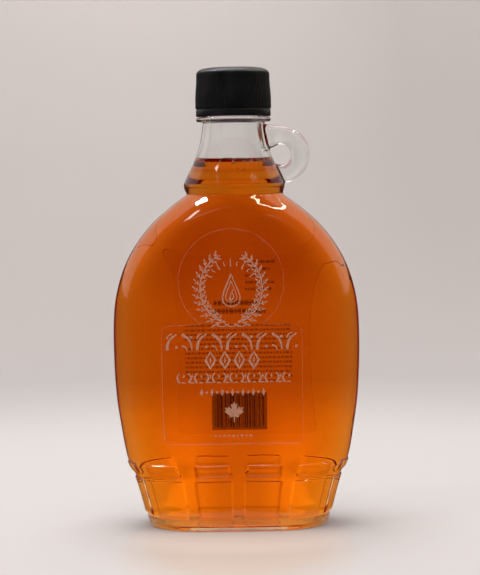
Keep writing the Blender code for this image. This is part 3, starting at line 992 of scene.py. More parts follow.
@dataclass
class GlassFlask:
    """The blown glass: flask, raised panels, ringed neck, collar, finish and finger loop."""

    shape: JugShape
    relief: PanelRelief = field(default_factory=PanelRelief)
    loop: FingerLoop = field(default_factory=FingerLoop)
    finish: GlassFinish = field(default_factory=GlassFinish)
    collar: tuple[float, float] = (0.1600, 0.1617)
    collar_radius: float = 0.0147
    collar_round: float = 0.0006
    finish_radius: float = 0.0125
    lip_height: float = 0.1789
    lip_round: float = 0.0009
    bore_radius: float = 0.0094
    finish_middle: float = 0.170
    collar_step: tuple[tuple[float, float], ...] = ((0.0122, -0.0001), (0.0128, 0.0))
    push_up_shares: tuple[float, ...] = (0.03, 0.12, 0.26, 0.40, 0.54, 0.66, 0.76, 0.84, 0.89, 0.92)
    heel_turns: range = range(0, 90, 9)
    lip_turns: tuple[float, ...] = (90.0, 60.0, 30.0, 0.0)
    panel_rows: tuple[tuple[float, float, int], ...] = ((0.0065, 0.0193, 9), (0.0230, 0.0257, 4))
    side_rows: tuple[float, float, int] = (0.0282, 0.1311, 66)
    neck_rows: tuple[float, int] = (0.1316, 50)
    fillet: float = 0.0011
    root_margins: tuple[float, float] = (0.004, 0.0005)
    root_start: float = 0.009
    root_depth: float = 0.006
    root_angle: float = 18.0
    root_skin: float = 0.0006
    soften_start: float = 0.006
    soften_passes: int = 14
    wet_top: float = 0.1450
    wet_fade: float = 0.0004
    wet_slack: float = 0.0006
    covers: tuple[Callable[[np.ndarray, np.ndarray, np.ndarray], np.ndarray], ...] = ()

    def _outer_rings(self, skin: Skin, angles: np.ndarray, gap: np.ndarray, seam: np.ndarray) -> None:
        """Add the push-up, heel, sides and neck.

        Args:
            skin: Where they go.
            angles: Angle of each column.
            gap: Distance of each column from its gap's middle.
            seam: Distance of each column from the side seam.
        """
        shape = self.shape
        width, depth = shape.contact
        for share in self.push_up_shares[1:]:
            level = shape.push_up * max(0.0, 1.0 - (share / self.push_up_shares[-1]) ** 2)
            skin.add_ring(level_ring(oval_points(angles, width * share, depth * share), level))
        for height in self._outer_heights():
            half_width, half_depth = shape.outer(height)
            flat = oval_points(angles, half_width, half_depth)
            out = oval_normals(flat, half_width, half_depth)
            flat = flat + out * self.relief.lift(gap, seam, angles, height)[:, None]
            skin.add_ring(level_ring(flat, height))

    def _outer_heights(self) -> list[float]:
        """Heights of the outer rings, close together on the panels' edges."""
        foot = self.shape.flask[0][0]
        heel = [foot * (1.0 - math.cos(math.radians(a))) for a in self.heel_turns]
        slope = self.relief.slope
        rows: set[float] = set()
        for low, high in (self.relief.tall, self.relief.brick):
            for start in (low, high - slope):
                rows |= {round(start + slope * k / 5.0, 6) for k in range(-2, 8)}
        for run in self.panel_rows:
            rows |= {round(row, 6) for row in np.linspace(*run).tolist()}
        rows = {row for row in rows if row >= foot}
        sides = np.linspace(*self.side_rows).tolist()
        neck = np.linspace(self.neck_rows[0], self.shape.neck[-1][0], self.neck_rows[1]).tolist()
        return heel + sorted(rows) + sides + neck

    def _finish_rings(self, skin: Skin, angles: np.ndarray) -> None:
        """Add the collar, the plain finish under the cap and the lip.

        Args:
            skin: Where they go.
            angles: Angle of each column.
        """
        low, high = self.collar
        rounded = self.collar_round
        middle = self.collar_radius - rounded
        profile = [(radius, low + rise) for radius, rise in self.collar_step]
        profile += quarter_round((middle, low + rounded), rounded, -90.0)
        profile += quarter_round((middle, high - rounded), rounded, 0.0)
        profile += [(self.finish_radius, high), (self.finish_radius, self.finish_middle)]
        lip = (self.finish_radius - self.lip_round, self.lip_height - self.lip_round)
        profile += quarter_round(lip, self.lip_round, 0.0)
        for radius, height in profile:
            skin.add_ring(round_ring(angles, radius, height))

    def _inner_rings(self, skin: Skin, angles: np.ndarray) -> None:
        """Add the bore, throat, inside of the flask and the floor, from the top down.

        Args:
            skin: Where they go.
            angles: Angle of each column.
        """
        shape = self.shape
        middle = self.bore_radius + self.lip_round
        for turn in self.lip_turns:
            radius = middle - self.lip_round * math.cos(math.radians(turn))
            level = self.lip_height - self.lip_round * (1.0 - math.sin(math.radians(turn)))
            skin.add_ring(round_ring(angles, radius, level))
        for points in inner_rings(shape, angles, shape.throat[-1][0], 0.0):
            skin.add_ring(points)

    def build(self) -> bpy.types.Object:
        """Build the flask and join its finger loop.

        Returns:
            The glass.
        """
        angles, gap, seam = self.relief.columns(self.shape)
        skin = Skin()
        width, depth = (size * self.push_up_shares[0] for size in self.shape.contact)
        skin.add_ring(level_ring(oval_points(angles, width, depth), self.shape.push_up))
        first = skin.last
        self._outer_rings(skin, angles, gap, seam)
        self._finish_rings(skin, angles)
        self._inner_rings(skin, angles[::2])
        skin.add_pole(self.shape.floor_edge + self.shape.floor_crown)
        skin.last = first
        skin.add_pole(self.shape.push_up)
        flask = skin.make("glass_flask")
        glass = join_solids(flask, self.loop.make())
        self._soften_roots(glass)
        self._mark_wetted(glass)
        settle(glass, self.finish.material(), "clear_glass", "glass_jug")
        return glass

    def _mark_wetted(self, glass: bpy.types.Object) -> None:
        """Mark the inside points that the syrup touches.

        Args:
            glass: The joined glass.
        """
        points = np.empty(len(glass.data.vertices) * 3)
        glass.data.vertices.foreach_get("co", points)
        x, y, z = points.reshape(-1, 3).T
        width, depth = self.shape.inner(z)
        within = np.abs(y) < face_rise(x * 0.99, width, depth) + self.wet_slack
        inside = within & (np.abs(x) < width * 1.02) & (z > self.shape.floor_edge - 0.0001)
        wetted = inside * (1.0 - smooth_step(self.wet_top, self.wet_top + self.wet_fade, z))
        for cover in self.covers:
            wetted = np.maximum(wetted, cover(x, y, z))
        mark = glass.data.attributes.new(WET, "FLOAT", "POINT")
        mark.data.foreach_set("value", wetted.astype(np.float32))

    def _soften_roots(self, glass: bpy.types.Object) -> None:
        """Round the inner corner where the loop grows out of the neck.

        Args:
            glass: The joined glass.
        """
        mesh = bmesh.new()
        mesh.from_mesh(glass.data)
        low = self.loop.lower_root[1] - self.root_margins[0]
        high = self.loop.upper_root[1] + self.root_margins[1]
        seam = []
        for edge in mesh.edges:
            middle = (edge.verts[0].co + edge.verts[1].co) / 2.0
            near = middle.x > self.root_start and abs(middle.y) < self.root_depth and low < middle.z < high
            shut = near and len(edge.link_faces) == 2
            if shut and edge.calc_face_angle(0.0) > math.radians(self.root_angle):
                neck = float(self.shape.outer(middle.z)[0])
                if math.hypot(middle.x, middle.y) < neck + self.root_skin:
                    seam.append(middle)
        tree = kdtree.KDTree(len(seam))
        for index, place in enumerate(seam):
            tree.insert(place, index)
        tree.balance()
        close = [v for v in mesh.verts if v.co.x > self.soften_start and tree.find(v.co)[2] < self.fillet]
        for _ in range(self.soften_passes):
            bmesh.ops.smooth_vert(
                mesh, verts=close, factor=0.5, use_axis_x=True, use_axis_y=True, use_axis_z=True
            )
        mesh.to_mesh(glass.data)
        mesh.free()
        glass.data.shade_smooth()
        LOG.info("loop roots: %d seam edges, %d points softened", len(seam), len(close))


def join_solids(base: bpy.types.Object, other: bpy.types.Object) -> bpy.types.Object:
    """Unite two closed solids in one mesh.

    Args:
        base: The solid that stays.
        other: The solid that is added and removed.

    Returns:
        The base, with the joined mesh.
    """
    union = base.modifiers.new("join", "BOOLEAN")
    union.operation = "UNION"
    union.solver = "MANIFOLD"
    union.object = other
    bpy.context.view_layer.update()
    graph = bpy.context.evaluated_depsgraph_get()
    joined = bpy.data.meshes.new_from_object(base.evaluated_get(graph))
    base.modifiers.clear()
    base.data = joined
    bpy.data.objects.remove(other)
    return base


def inner_rings(shape: JugShape, angles: np.ndarray, top: float, reach: float) -> list[np.ndarray]:
    """Rings of the inside of the flask, from a height down to the middle of the floor.

    Args:
        shape: The flask.
        angles: Angle of each column.
        top: Height of the first ring.
        reach: How far the rings lie inside the glass.

    Returns:
        The rings' points, from the top down.
    """
    corner_top = shape.floor_edge + shape.floor_corner
    throat_foot, throat_top = shape.throat[0][0], shape.throat[-1][0]
    heights = [h for h in np.linspace(throat_top, throat_foot, shape.throat_rows) if h < top - 1e-5]
    heights = [top] + heights
    heights += np.linspace(throat_foot - shape.body_top_drop, corner_top, shape.body_rows).tolist()
    turns = [math.radians(a) for a in range(80, 5, -8)]
    heights += [corner_top - shape.floor_corner * math.cos(t) for t in turns]
    rings = []
    for height in heights:
        width, depth = shape.inner(height)
        flat = oval_points(angles, width + reach, depth + reach)
        sunk = reach if height < corner_top else 0.0
        rings.append(np.column_stack([flat, np.full(len(flat), height - sunk)]))
    edge = rings[-1]
    for share in shape.floor_shares:
        level = shape.floor_edge + shape.floor_crown * (1.0 - share**2) - reach
        rings.append(np.column_stack([edge[:, :2] * share, np.full(len(edge), level)]))
    return rings


@dataclass
class SyrupFill:
    """The syrup, reaching a hair into the wall, with its edge drawn up the glass."""

    shape: JugShape
    finish: SyrupFinish = field(default_factory=SyrupFinish)
    bubble_finish: BubbleFinish = field(default_factory=BubbleFinish)
    level: float = 0.1431
    climb: float = 0.0021
    climb_width: float = 0.0011
    reach: float = 0.00022
    surface_shares: tuple[float, ...] = (
        0.04, 0.2, 0.4, 0.58, 0.72, 0.80, 0.86, 0.90, 0.93, 0.955, 0.975, 0.99,
    )
    front_bubbles: int = 46
    front_turn: tuple[float, float] = (-52.0, 16.0)
    front_radius: tuple[float, float] = (0.00016, 0.00034)
    front_rise: tuple[float, float] = (0.0001, 0.0014)
    other_bubbles: int = 26
    other_radius: tuple[float, float] = (0.00014, 0.00026)
    other_rise: tuple[float, float] = (0.0, 0.0010)
    big_bubbles: tuple[Place, ...] = (
        (-91.5, 0.00062, 0.0003), (-84.0, 0.0003, -0.0020),
        (-80.0, 0.00026, -0.0026), (-76.0, 0.0003, -0.0023),
    )
    bubble_gap: float = 0.00004
    wall_gap: float = 0.00006
    seed: int = 11

    def _surface(self, share: float) -> float:
        """Height of the liquid's surface at a share of the way from the axis to the wall."""
        radius = float(self.shape.inner(self.level)[0])
        return self.level + self.climb * math.exp(-radius * (1.0 - share) / self.climb_width)

    def build(self) -> None:
        """Build the syrup and its bubbles."""
        angles, _, _ = PanelRelief().columns(self.shape)
        angles = angles[::2]
        top = self.level + self.climb
        rings = inner_rings(self.shape, angles, top, self.reach)
        skin = Skin()
        for share in self.surface_shares:
            width, depth = self.shape.inner(self._surface(share))
            flat = oval_points(angles, width * share, depth * share)
            skin.add_ring(level_ring(flat, self._surface(share)))
        first = np.arange(len(angles))
        for ring in rings:
            skin.add_ring(ring)
        skin.add_pole(self.shape.floor_edge + self.shape.floor_crown - self.reach)
        skin.last = first
        skin.add_pole(self._surface(0.0))
        syrup = skin.make("syrup_fill")
        wet = np.ones(len(syrup.data.vertices), dtype=np.float32)
        wet[:len(self.surface_shares) * len(angles)] = 0.0
        wet[-1] = 0.0
        syrup.data.attributes.new(WET, "FLOAT", "POINT").data.foreach_set("value", wet)
        settle(syrup, self.finish.material(), "amber_syrup", "maple_syrup")
        self._make_bubbles()

    def _make_bubbles(self) -> None:
        """Scatter small bubbles under the syrup's edge, most of them at the front right."""
        draw = random.Random(self.seed)
        places: list[tuple[Vector, float]] = []
        spots = [
            (draw.gauss(*self.front_turn), draw.uniform(*self.front_radius), draw.uniform(*self.front_rise))
            for _ in range(self.front_bubbles)
        ]
        spots += [
            (draw.uniform(-180.0, 180.0), draw.uniform(*self.other_radius), draw.uniform(*self.other_rise))
            for _ in range(self.other_bubbles)
        ]
        spots += self.big_bubbles
        for turn, radius, rise in spots:
            height = self.level + rise
            wall = float(self.shape.inner(height)[0])
            out = wall - radius - self.wall_gap
            angle = math.radians(turn)
            place = Vector((out * math.cos(angle), out * math.sin(angle), height))
            if all((place - other).length > radius + size + self.bubble_gap for other, size in places):
                places.append((place, radius))
        mesh = bmesh.new()
        for place, radius in places:
            grown = bmesh.ops.create_icosphere(mesh, subdivisions=3, radius=radius)
            bmesh.ops.translate(mesh, verts=grown["verts"], vec=place)
        data = bpy.data.meshes.new("syrup_bubbles")
        mesh.to_mesh(data)
        mesh.free()
        data.shade_smooth()
        bubbles = bpy.data.objects.new("syrup_bubbles", data)
        bpy.context.scene.collection.objects.link(bubbles)
        settle(bubbles, self.bubble_finish.material(), "amber_syrup")


@dataclass
class ScrewCap:
    """Black screw cap: finely ribbed skirt, tamper band, bevelled top with a low rim."""

    finish: CapFinish = field(default_factory=CapFinish)
    ribs: int = 120
    rib_columns: int = 6
    rib_height: float = 0.00026
    rib_roundness: float = 0.7
    rib_span: tuple[float, float] = (0.1655, 0.1785)
    rib_fades: tuple[float, float] = (0.0007, 0.0020)
    plain_radius: float = 0.0112
    rim: tuple[tuple[float, float], ...] = (
        (0.0030, 0.18095), (0.0070, 0.18095), (0.0091, 0.18096), (0.0094, 0.18104), (0.0096, 0.18116),
        (0.0099, 0.1812), (0.0102, 0.18116), (0.0104, 0.18104), (0.0106, 0.1809), (0.0109, 0.1808),
    )
    bevel_middle: tuple[float, float] = (0.0102, 0.1811)
    bevel_size: tuple[float, float] = (0.00425, 0.0025)
    bevel_turns: range = range(20, 91, 7)
    skirt_radius: float = 0.01449
    skirt_flare: float = 0.00049
    skirt_top: float = 0.1784
    skirt_drop: float = 0.0129
    skirt_rows: int = 15
    band: tuple[tuple[float, float], ...] = (
        (0.01496, 0.16530), (0.01486, 0.16512), (0.01448, 0.16500), (0.01446, 0.16488), (0.01470, 0.16474),
        (0.01478, 0.16458), (0.01478, 0.1636), (0.01478, 0.16250), (0.01472, 0.16220), (0.01456, 0.16205),
        (0.0136, 0.16200),
    )
    lining: tuple[tuple[float, float], ...] = (
        (0.0132, 0.16220), (0.0132, 0.1700), (0.0132, 0.17900), (0.0130, 0.17920), (0.0060, 0.17920),
    )

    def _outside(self) -> list[tuple[float, float]]:
        """Radius and height from the top's middle down to the band's lower edge."""
        bevel = []
        for turn in self.bevel_turns:
            angle = math.radians(turn)
            across, down = self.bevel_size[0] * math.sin(angle), self.bevel_size[1] * (1.0 - math.cos(angle))
            bevel.append((self.bevel_middle[0] + across, self.bevel_middle[1] - down))
        fall = np.linspace(0.0, 1.0, self.skirt_rows)
        flare = smooth_step(0.1, 0.75, fall)
        skirt = []
        for down, out in zip(fall, flare):
            radius = self.skirt_radius + self.skirt_flare * float(out)
            skirt.append((radius, self.skirt_top - self.skirt_drop * float(down)))
        return list(self.rim) + bevel + skirt + list(self.band)

    def _rib_share(self, radius: float, height: float) -> float:
        """How much of the ribs' depth a row has."""
        if radius <= self.plain_radius:
            return 0.0
        low, high = self.rib_span
        start = smooth_step(low - self.rib_fades[0], low, height)
        end = smooth_step(high, high + self.rib_fades[1], height)
        return float(start * (1.0 - end))

    def build(self) -> None:
        """Build the cap."""
        count = self.ribs * self.rib_columns
        angles = np.linspace(0.0, 2.0 * math.pi, count, endpoint=False)
        valley = 1.0 - np.abs(np.cos(angles * self.ribs / 2.0)) ** self.rib_roundness
        skin = Skin()
        for radius, height in self._outside():
            cut = self.rib_height * valley * self._rib_share(radius, height)
            skin.add_ring(round_ring(angles, radius - cut, height))
        for radius, height in self.lining:
            skin.add_ring(round_ring(angles, radius, height))
        skin.add_pole(self.lining[-1][1])
        skin.last = np.arange(count)
        skin.add_pole(self.rim[0][1])
        cap = skin.make("cap_shell")
        cap.data.set_sharp_from_angle(angle=math.radians(50.0))
        settle(cap, self.finish.material(), "black_cap", "screw_cap")


def grid_quads(number: np.ndarray) -> np.ndarray:
    """Four corners of each face of a grid, from the numbers of its points."""
    corners = [number[:-1, :-1], number[:-1, 1:], number[1:, 1:], number[1:, :-1]]
    return np.stack(corners, axis=-1).reshape(-1, 4)


def film_sheet(name: str, shape: JugShape, face: Face, rows: Sequence[tuple[float, float, float]],
               proud: tuple[float, float]) -> bpy.types.Object:
    """Make a thin closed film on the flask, with its under side marked as wetted.

    Args:
        name: Name of the film.
        shape: The flask.
        face: Front or back.
        rows: Height, left end and right end of each row, from the bottom up.
        proud: How far its under and upper side stand out from the glass.

    Returns:
        The film.
    """
    columns = 61
    share = np.linspace(0.0, 1.0, columns)
    sides = []
    for distance in proud:
        sheet = [shape.on_face(face, left + (right - left) * share, np.full(columns, height), distance)
                 for height, left, right in rows]
        sides.append(np.concatenate(sheet))
    count = len(rows) * columns
    number = np.arange(count).reshape(len(rows), columns)
    quads = grid_quads(number)
    faces = quads.tolist() + (quads[:, ::-1] + count).tolist()
    sides_up = number[1:, -1].tolist(), number[-2:0:-1, 0].tolist()
    border = number[0].tolist() + sides_up[0] + number[-1, -2::-1].tolist() + sides_up[1]
    faces += [[a, b, b + count, a + count] for a, b in zip(border, border[1:] + border[:1])]
    film = object_from(name, np.concatenate(sides), faces)
    under = film.data.attributes.new(WET, "FLOAT", "POINT")
    under.data.foreach_set("value", np.repeat([1.0, 0.0], count).astype(np.float32))
    film.data.set_sharp_from_angle(angle=math.radians(40.0))
    return film


def rounded_rows(low: float, high: float, half: float, corner: float, middle: float) -> list[Place]:
    """Rows of a rectangle with rounded corners.

    Args:
        low: Height of its lower edge.
        high: Height of its upper edge.
        half: Half its width.
        corner: Radius of its corners.
        middle: Place of its middle along X.

    Returns:
        Height, left end and right end of each row.
    """
    turns = np.radians(np.linspace(0.0, 90.0, 8))
    lower = [(low + corner * (1.0 - math.cos(t)), half - corner * (1.0 - math.sin(t))) for t in turns]
    between = [(h, half) for h in np.linspace(low + corner, high - corner, 24)[1:-1]]
    upper = [(high - (h - low), w) for h, w in reversed(lower)]
    return [(h, middle - w, middle + w) for h, w in lower + between + upper]


class InkSheet:
    """Flat shapes collected in a label's own plane, then laid on the glass as thin ink."""

    def __init__(self, middle: float, base: float) -> None:
        """Start an empty sheet.

        Args:
            middle: Place of the sheet's zero along X.
            base: Height of the sheet's zero.
        """
        self.middle, self.base = middle, base
        self.outlines: list[Outline] = []

    def add(self, outline: Outline, at: tuple[float, float] = (0.0, 0.0), turn: float = 0.0) -> None:
        """Add one filled outline, in millimetres.

        Args:
            outline: Its points in order.
            at: Where its zero goes.
            turn: Degrees that it is turned by, anticlockwise.
        """
        across, along = math.cos(math.radians(turn)), math.sin(math.radians(turn))
        self.outlines.append(
            [(at[0] + x * across - y * along, at[1] + x * along + y * across) for x, y in outline]
        )

    def draw(self, pieces: Iterable[Outline]) -> None:
        """Add pieces where they stand."""
        for piece in pieces:
            self.add(piece)

    def lay(self, name: str, shape: JugShape, face: Face, proud: tuple[float, float]) -> bpy.types.Object:
        """Lay all shapes on the flask as one object of thin solids.

        Args:
            name: Name of the object.
            shape: The flask.
            face: Front or back.
            proud: How far the ink's under and upper side stand out from the glass.

        Returns:
            The ink.
        """
        mesh = bmesh.new()
        for outline in self.outlines:
            mesh.faces.new([mesh.verts.new((x * MM, 0.0, y * MM)) for x, y in outline])
        bmesh.ops.triangulate(mesh, faces=mesh.faces, ngon_method="EAR_CLIP")
        for limit in INK_EDGE_LIMITS:
            long_edges = [edge for edge in mesh.edges if edge.calc_length() > limit * MM]
            if long_edges:
                bmesh.ops.subdivide_edges(mesh, edges=long_edges, cuts=1)
                bmesh.ops.triangulate(mesh, faces=mesh.faces)
        under = list(mesh.verts)
        grown = bmesh.ops.extrude_face_region(mesh, geom=list(mesh.faces), use_keep_orig=True)
        upper = [item for item in grown["geom"] if isinstance(item, bmesh.types.BMVert)]
        for verts, distance in ((under, proud[0]), (upper, proud[1])):
            across = np.array([v.co.x + self.middle for v in verts])
            height = np.array([v.co.z + self.base for v in verts])
            for vert, point in zip(verts, shape.on_face(face, across, height, distance)):
                vert.co = point
        bmesh.ops.recalc_face_normals(mesh, faces=mesh.faces)
        data = bpy.data.meshes.new(name)
        mesh.to_mesh(data)
        mesh.free()
        ink = bpy.data.objects.new(name, data)
        bpy.context.scene.collection.objects.link(ink)
        return ink


def bar(width: float, height: float) -> Outline:
    """A rectangle about its middle."""
    x, y = width / 2, height / 2
    return [(-x, -y), (x, -y), (x, y), (-x, y)]


def disc(radius: float, steps: int = 20) -> Outline:
    """A round dot about its middle."""
    turns = [2.0 * math.pi * i / steps for i in range(steps)]
    return [(radius * math.cos(t), radius * math.sin(t)) for t in turns]


def lozenge(width: float, height: float) -> Outline:
    """A diamond about its middle."""
    return [(-width / 2, 0.0), (0.0, -height / 2), (width / 2, 0.0), (0.0, height / 2)]


def leaflet(length: float, width: float, steps: int = 9) -> Outline:
    """A slim leaf from its foot at zero to its tip at +X.

    Args:
        length: Length from foot to tip.
        width: Greatest width.
        steps: Points along each side.

    Returns:
        Its points in order.
    """
    shares = [i / (steps - 1) for i in range(steps)]
    lower = [(length * s, -0.5 * width * math.sin(math.pi * s**0.8)) for s in shares]
    upper = [(length * s, 0.5 * width * math.sin(math.pi * s**0.8)) for s in shares[1:-1]]
    return lower + upper[::-1]


def stroke(points: Sequence[tuple[float, float]], width: float) -> list[Outline]:
    """A bent line as one four-sided piece for each stretch, tapered to its end.

    Args:
        points: Places along the line.
        width: Width where it starts; its end is half as wide.

    Returns:
        The pieces.
    """
    places = np.array(points)
    along = np.gradient(places, axis=0)
    along /= np.linalg.norm(along, axis=1)[:, None]
    halves = width / 2.0 * np.linspace(1.0, 0.5, len(places))
    side = np.stack([-along[:, 1], along[:, 0]], axis=-1) * halves[:, None]
    left, right = places + side, places - side
    corners = zip(right[:-1], right[1:], left[1:], left[:-1])
    return [[tuple(corner) for corner in piece] for piece in corners]


def bow(start: tuple[float, float], end: tuple[float, float], sag: float, steps: int = 9) -> Outline:
    """Places along a bent line between two ends.

    Args:
        start: Where it starts.
        end: Where it ends.
        sag: How far its middle leaves the straight line, to the left of its run.
        steps: Number of places.

    Returns:
        The places.
    """
    first, last = np.array(start), np.array(end)
    side = np.array([first[1] - last[1], last[0] - first[0]]) / np.linalg.norm(last - first)
    shares = np.linspace(0.0, 1.0, steps)
    return [tuple(first + (last - first) * t + side * sag * math.sin(math.pi * t)) for t in shares]


@dataclass(frozen=True)
class Row:
    """A level row of even places about a label's middle, in millimetres."""

    count: int
    pitch: float
    height: float

    def places(self) -> list[tuple[int, float]]:
        """Number of each place and how far it lies to the right."""
        return [(i, self.pitch * (i - (self.count - 1) / 2.0)) for i in range(self.count)]


def droplet(width: float, height: float, steps: int = 28) -> Outline:
    """A drop with its point up, about the middle of its round part.

    Args:
        width: Greatest width.
        height: Whole height.
        steps: Points round it.

    Returns:
        Its points in order.
    """
    points = []
    for i in range(steps):
        turn = 2.0 * math.pi * i / steps + math.pi / 2.0
        lean = (1.0 + math.sin(turn)) / 2.0
        narrow = 1.0 - 0.9 * lean**1.6
        rise = math.sin(turn) * width / 2.0
        points.append((math.cos(turn) * width / 2.0 * narrow, rise + (height - width) * lean**2.2))
    return points


def maple_leaf(height: float) -> Outline:
    """A plain five-lobed leaf with a stalk, about its middle.

    Args:
        height: Whole height.

    Returns:
        Its points in order.
    """
    half = (
        (0.00, 0.50), (0.075, 0.34), (0.16, 0.39), (0.11, 0.10), (0.24, 0.26), (0.27, 0.18), (0.44, 0.22),
        (0.37, 0.05), (0.45, 0.00), (0.20, -0.18), (0.23, -0.27), (0.03, -0.22), (0.02, -0.50),
    )
    right = [(x * height, y * height) for x, y in half]
    return right + [(-x, y) for x, y in reversed(right) if x > 0.0]


@dataclass
class FrontLabel:
    """Clear film with a disc rising from a broad field, and its pale ornamental print."""

    shape: JugShape
    film: FilmFinish = field(default_factory=FilmFinish)
    ink: InkFinish = InkFinish("pale_ink_finish", (0.72, 0.36, 0.24), (0.60, 0.28, 0.18), 0.80)
    middle: float = -0.0018
    half_width: float = 0.0271
    bottom: float = 0.0346
    shoulder: float = 0.0812
    corner: float = 0.0030
    disc_height: float = 0.0981
    disc_radius: float = 0.0204
    disc_clear: float = 0.0004
    disc_end: float = 88.0
    disc_rows: int = 34
    film_proud: tuple[float, float] = (-0.00005, 0.00010)
    ink_proud: tuple[float, float] = (0.00008, 0.00013)
    # Painted highlight: a faint pale line along the film's border, standing in for light caught by its cut
    # edge.
    painted_edge_highlight: InkFinish = InkFinish("film_edge_painted_highlight", (0.80, 0.42, 0.25), (0.62, 0.28, 0.14), 0.16)
    edge_line: float = 0.25
    wreath_height: float = 61.0
    wreath_radius: float = 12.0
    wreath_stretch: float = 1.12
    wreath_turns: tuple[float, float] = (12.0, 160.0)
    stem_places: int = 28
    stem_line: float = 0.75
    twigs: tuple[tuple[float, float], ...] = ((44.0, 4.6), (-44.0, 4.0))
    twig_shrink: float = 0.016
    drops: tuple[Place, ...] = ((8.6, 12.6, 0.62), (5.4, 8.4, 0.42))
    drop_sink: float = 2.8
    veins: tuple[tuple[float, float], ...] = ((5.0, 0.7), (3.4, -0.8), (2.4, 0.5))
    vein_foot: tuple[float, float] = (-0.3, 55.9)
    long_ray: tuple[float, float] = (8.3, 11.4)
    short_ray: tuple[float, float] = (8.8, 10.4)
    fine_line: float = 0.5
    tie_row: Row = Row(3, 3.6, 47.2)
    bow_row: Row = Row(9, 5.8, 40.2)
    diamond_row: Row = Row(4, 5.6, 33.1)
    hook_row: Row = Row(13, 3.4, 26.3)
    bead_row: Row = Row(13, 2.0, 20.6)
    leaf_height: float = 8.2
    leaf_at: tuple[float, float] = (0.5, 12.9)
    foot_row: Row = Row(9, 1.7, 3.6)

    def _film_rows(self) -> list[tuple[float, float, float]]:
        """Rows of the film from the bottom up."""
        rows = rounded_rows(self.bottom, self.shoulder, self.half_width, self.corner, self.middle)
        start = math.asin((self.shoulder + self.disc_clear - self.disc_height) / self.disc_radius)
        for turn in np.linspace(start, math.radians(self.disc_end), self.disc_rows):
            reach = self.disc_radius * math.cos(turn)
            height = self.disc_height + self.disc_radius * math.sin(turn)
            rows.append((height, self.middle - reach, self.middle + reach))
        return rows

    def covers(self, x: np.ndarray, y: np.ndarray, z: np.ndarray) -> np.ndarray:
        """Tell which points of the glass lie under the film.

        Args:
            x: Places along X.
            y: Places along Y.
            z: Heights.

        Returns:
            1 for each covered point, else 0.
        """
        field_part = (np.abs(x - self.middle) < self.half_width) & (z > self.bottom) & (z < self.shoulder)
        disc_part = np.hypot(x - self.middle, z - self.disc_height) < self.disc_radius
        outside = y < -OUTER_SHARE * self.shape.face_depth(x, z)
        return ((field_part | disc_part) & outside).astype(float)

    def _wreath(self, sheet: InkSheet) -> None:
        """Two fern sprays with fine twigs, tied at their foot.

        Args:
            sheet: Where they go.
        """
        for side in (-1.0, 1.0):
            start, end = (side * turn - 90.0 for turn in self.wreath_turns)
            turns = np.radians(np.linspace(start, end, self.stem_places))
            ring = np.stack([np.cos(turns), self.wreath_stretch * np.sin(turns)], axis=-1)
            stem = np.array((0.0, self.wreath_height)) + self.wreath_radius * ring
            sheet.draw(stroke([tuple(point) for point in stem], self.stem_line))
            for i in range(1, self.stem_places - 1, 2):
                run = math.degrees(math.atan2(*(stem[i] - stem[i - 1])[::-1]))
                size = 1.0 - self.twig_shrink * i
                for lean, reach in self.twigs:
                    self._twig(sheet, tuple(stem[i]), run + lean, reach * size)
        height = self.tie_row.height
        for _, across in self.tie_row.places():
            sheet.draw(stroke(bow((across - 2.6, height), (across + 2.6, height), -1.1), 0.55))

    def _drop(self, sheet: InkSheet) -> None:
        """A drop in two outlines with three veins, and rays over it.

        Args:
            sheet: Where it goes.
        """
        for width, height, line in self.drops:
            ring = [(x, y + self.wreath_height - self.drop_sink) for x, y in droplet(width, height)]
            sheet.draw(stroke(ring + ring[:1], line))
        foot = self.vein_foot
        for reach, sag in self.veins:
            tip = (0.5 * reach + foot[0] - 1.0, foot[1] + reach)
            sheet.draw(stroke(bow(foot, tip, sag), self.fine_line))
        for turn in range(-60, 61, 15):
            angle = math.radians(90.0 + turn)
            ray = self.long_ray if turn % 30 == 0 else self.short_ray
            ends = [(far * math.cos(angle), self.wreath_height + far * math.sin(angle)) for far in ray]
            sheet.draw(stroke(bow(*ends, 0.25, 5), self.fine_line))

    def _twig(self, sheet: InkSheet, foot: tuple[float, float], turn: float, reach: float) -> None:
        """A fine twig with a leaf at its tip and one on each side.

        Args:
            sheet: Where it goes.
            foot: Where it starts.
            turn: Its direction in degrees.
            reach: Its length.
        """
        angle = math.radians(turn)
        tip = (foot[0] + reach * 0.6 * math.cos(angle), foot[1] + reach * 0.6 * math.sin(angle))
        sheet.draw(stroke([foot, ((foot[0] + tip[0]) / 2, (foot[1] + tip[1]) / 2), tip], self.fine_line))
        sheet.add(leaflet(reach * 0.52, 0.62), tip, turn)
        node = (0.45 * foot[0] + 0.55 * tip[0], 0.45 * foot[1] + 0.55 * tip[1])
        for lean in (38.0, -38.0):
            sheet.add(leaflet(reach * 0.40, 0.50), node, turn + lean)

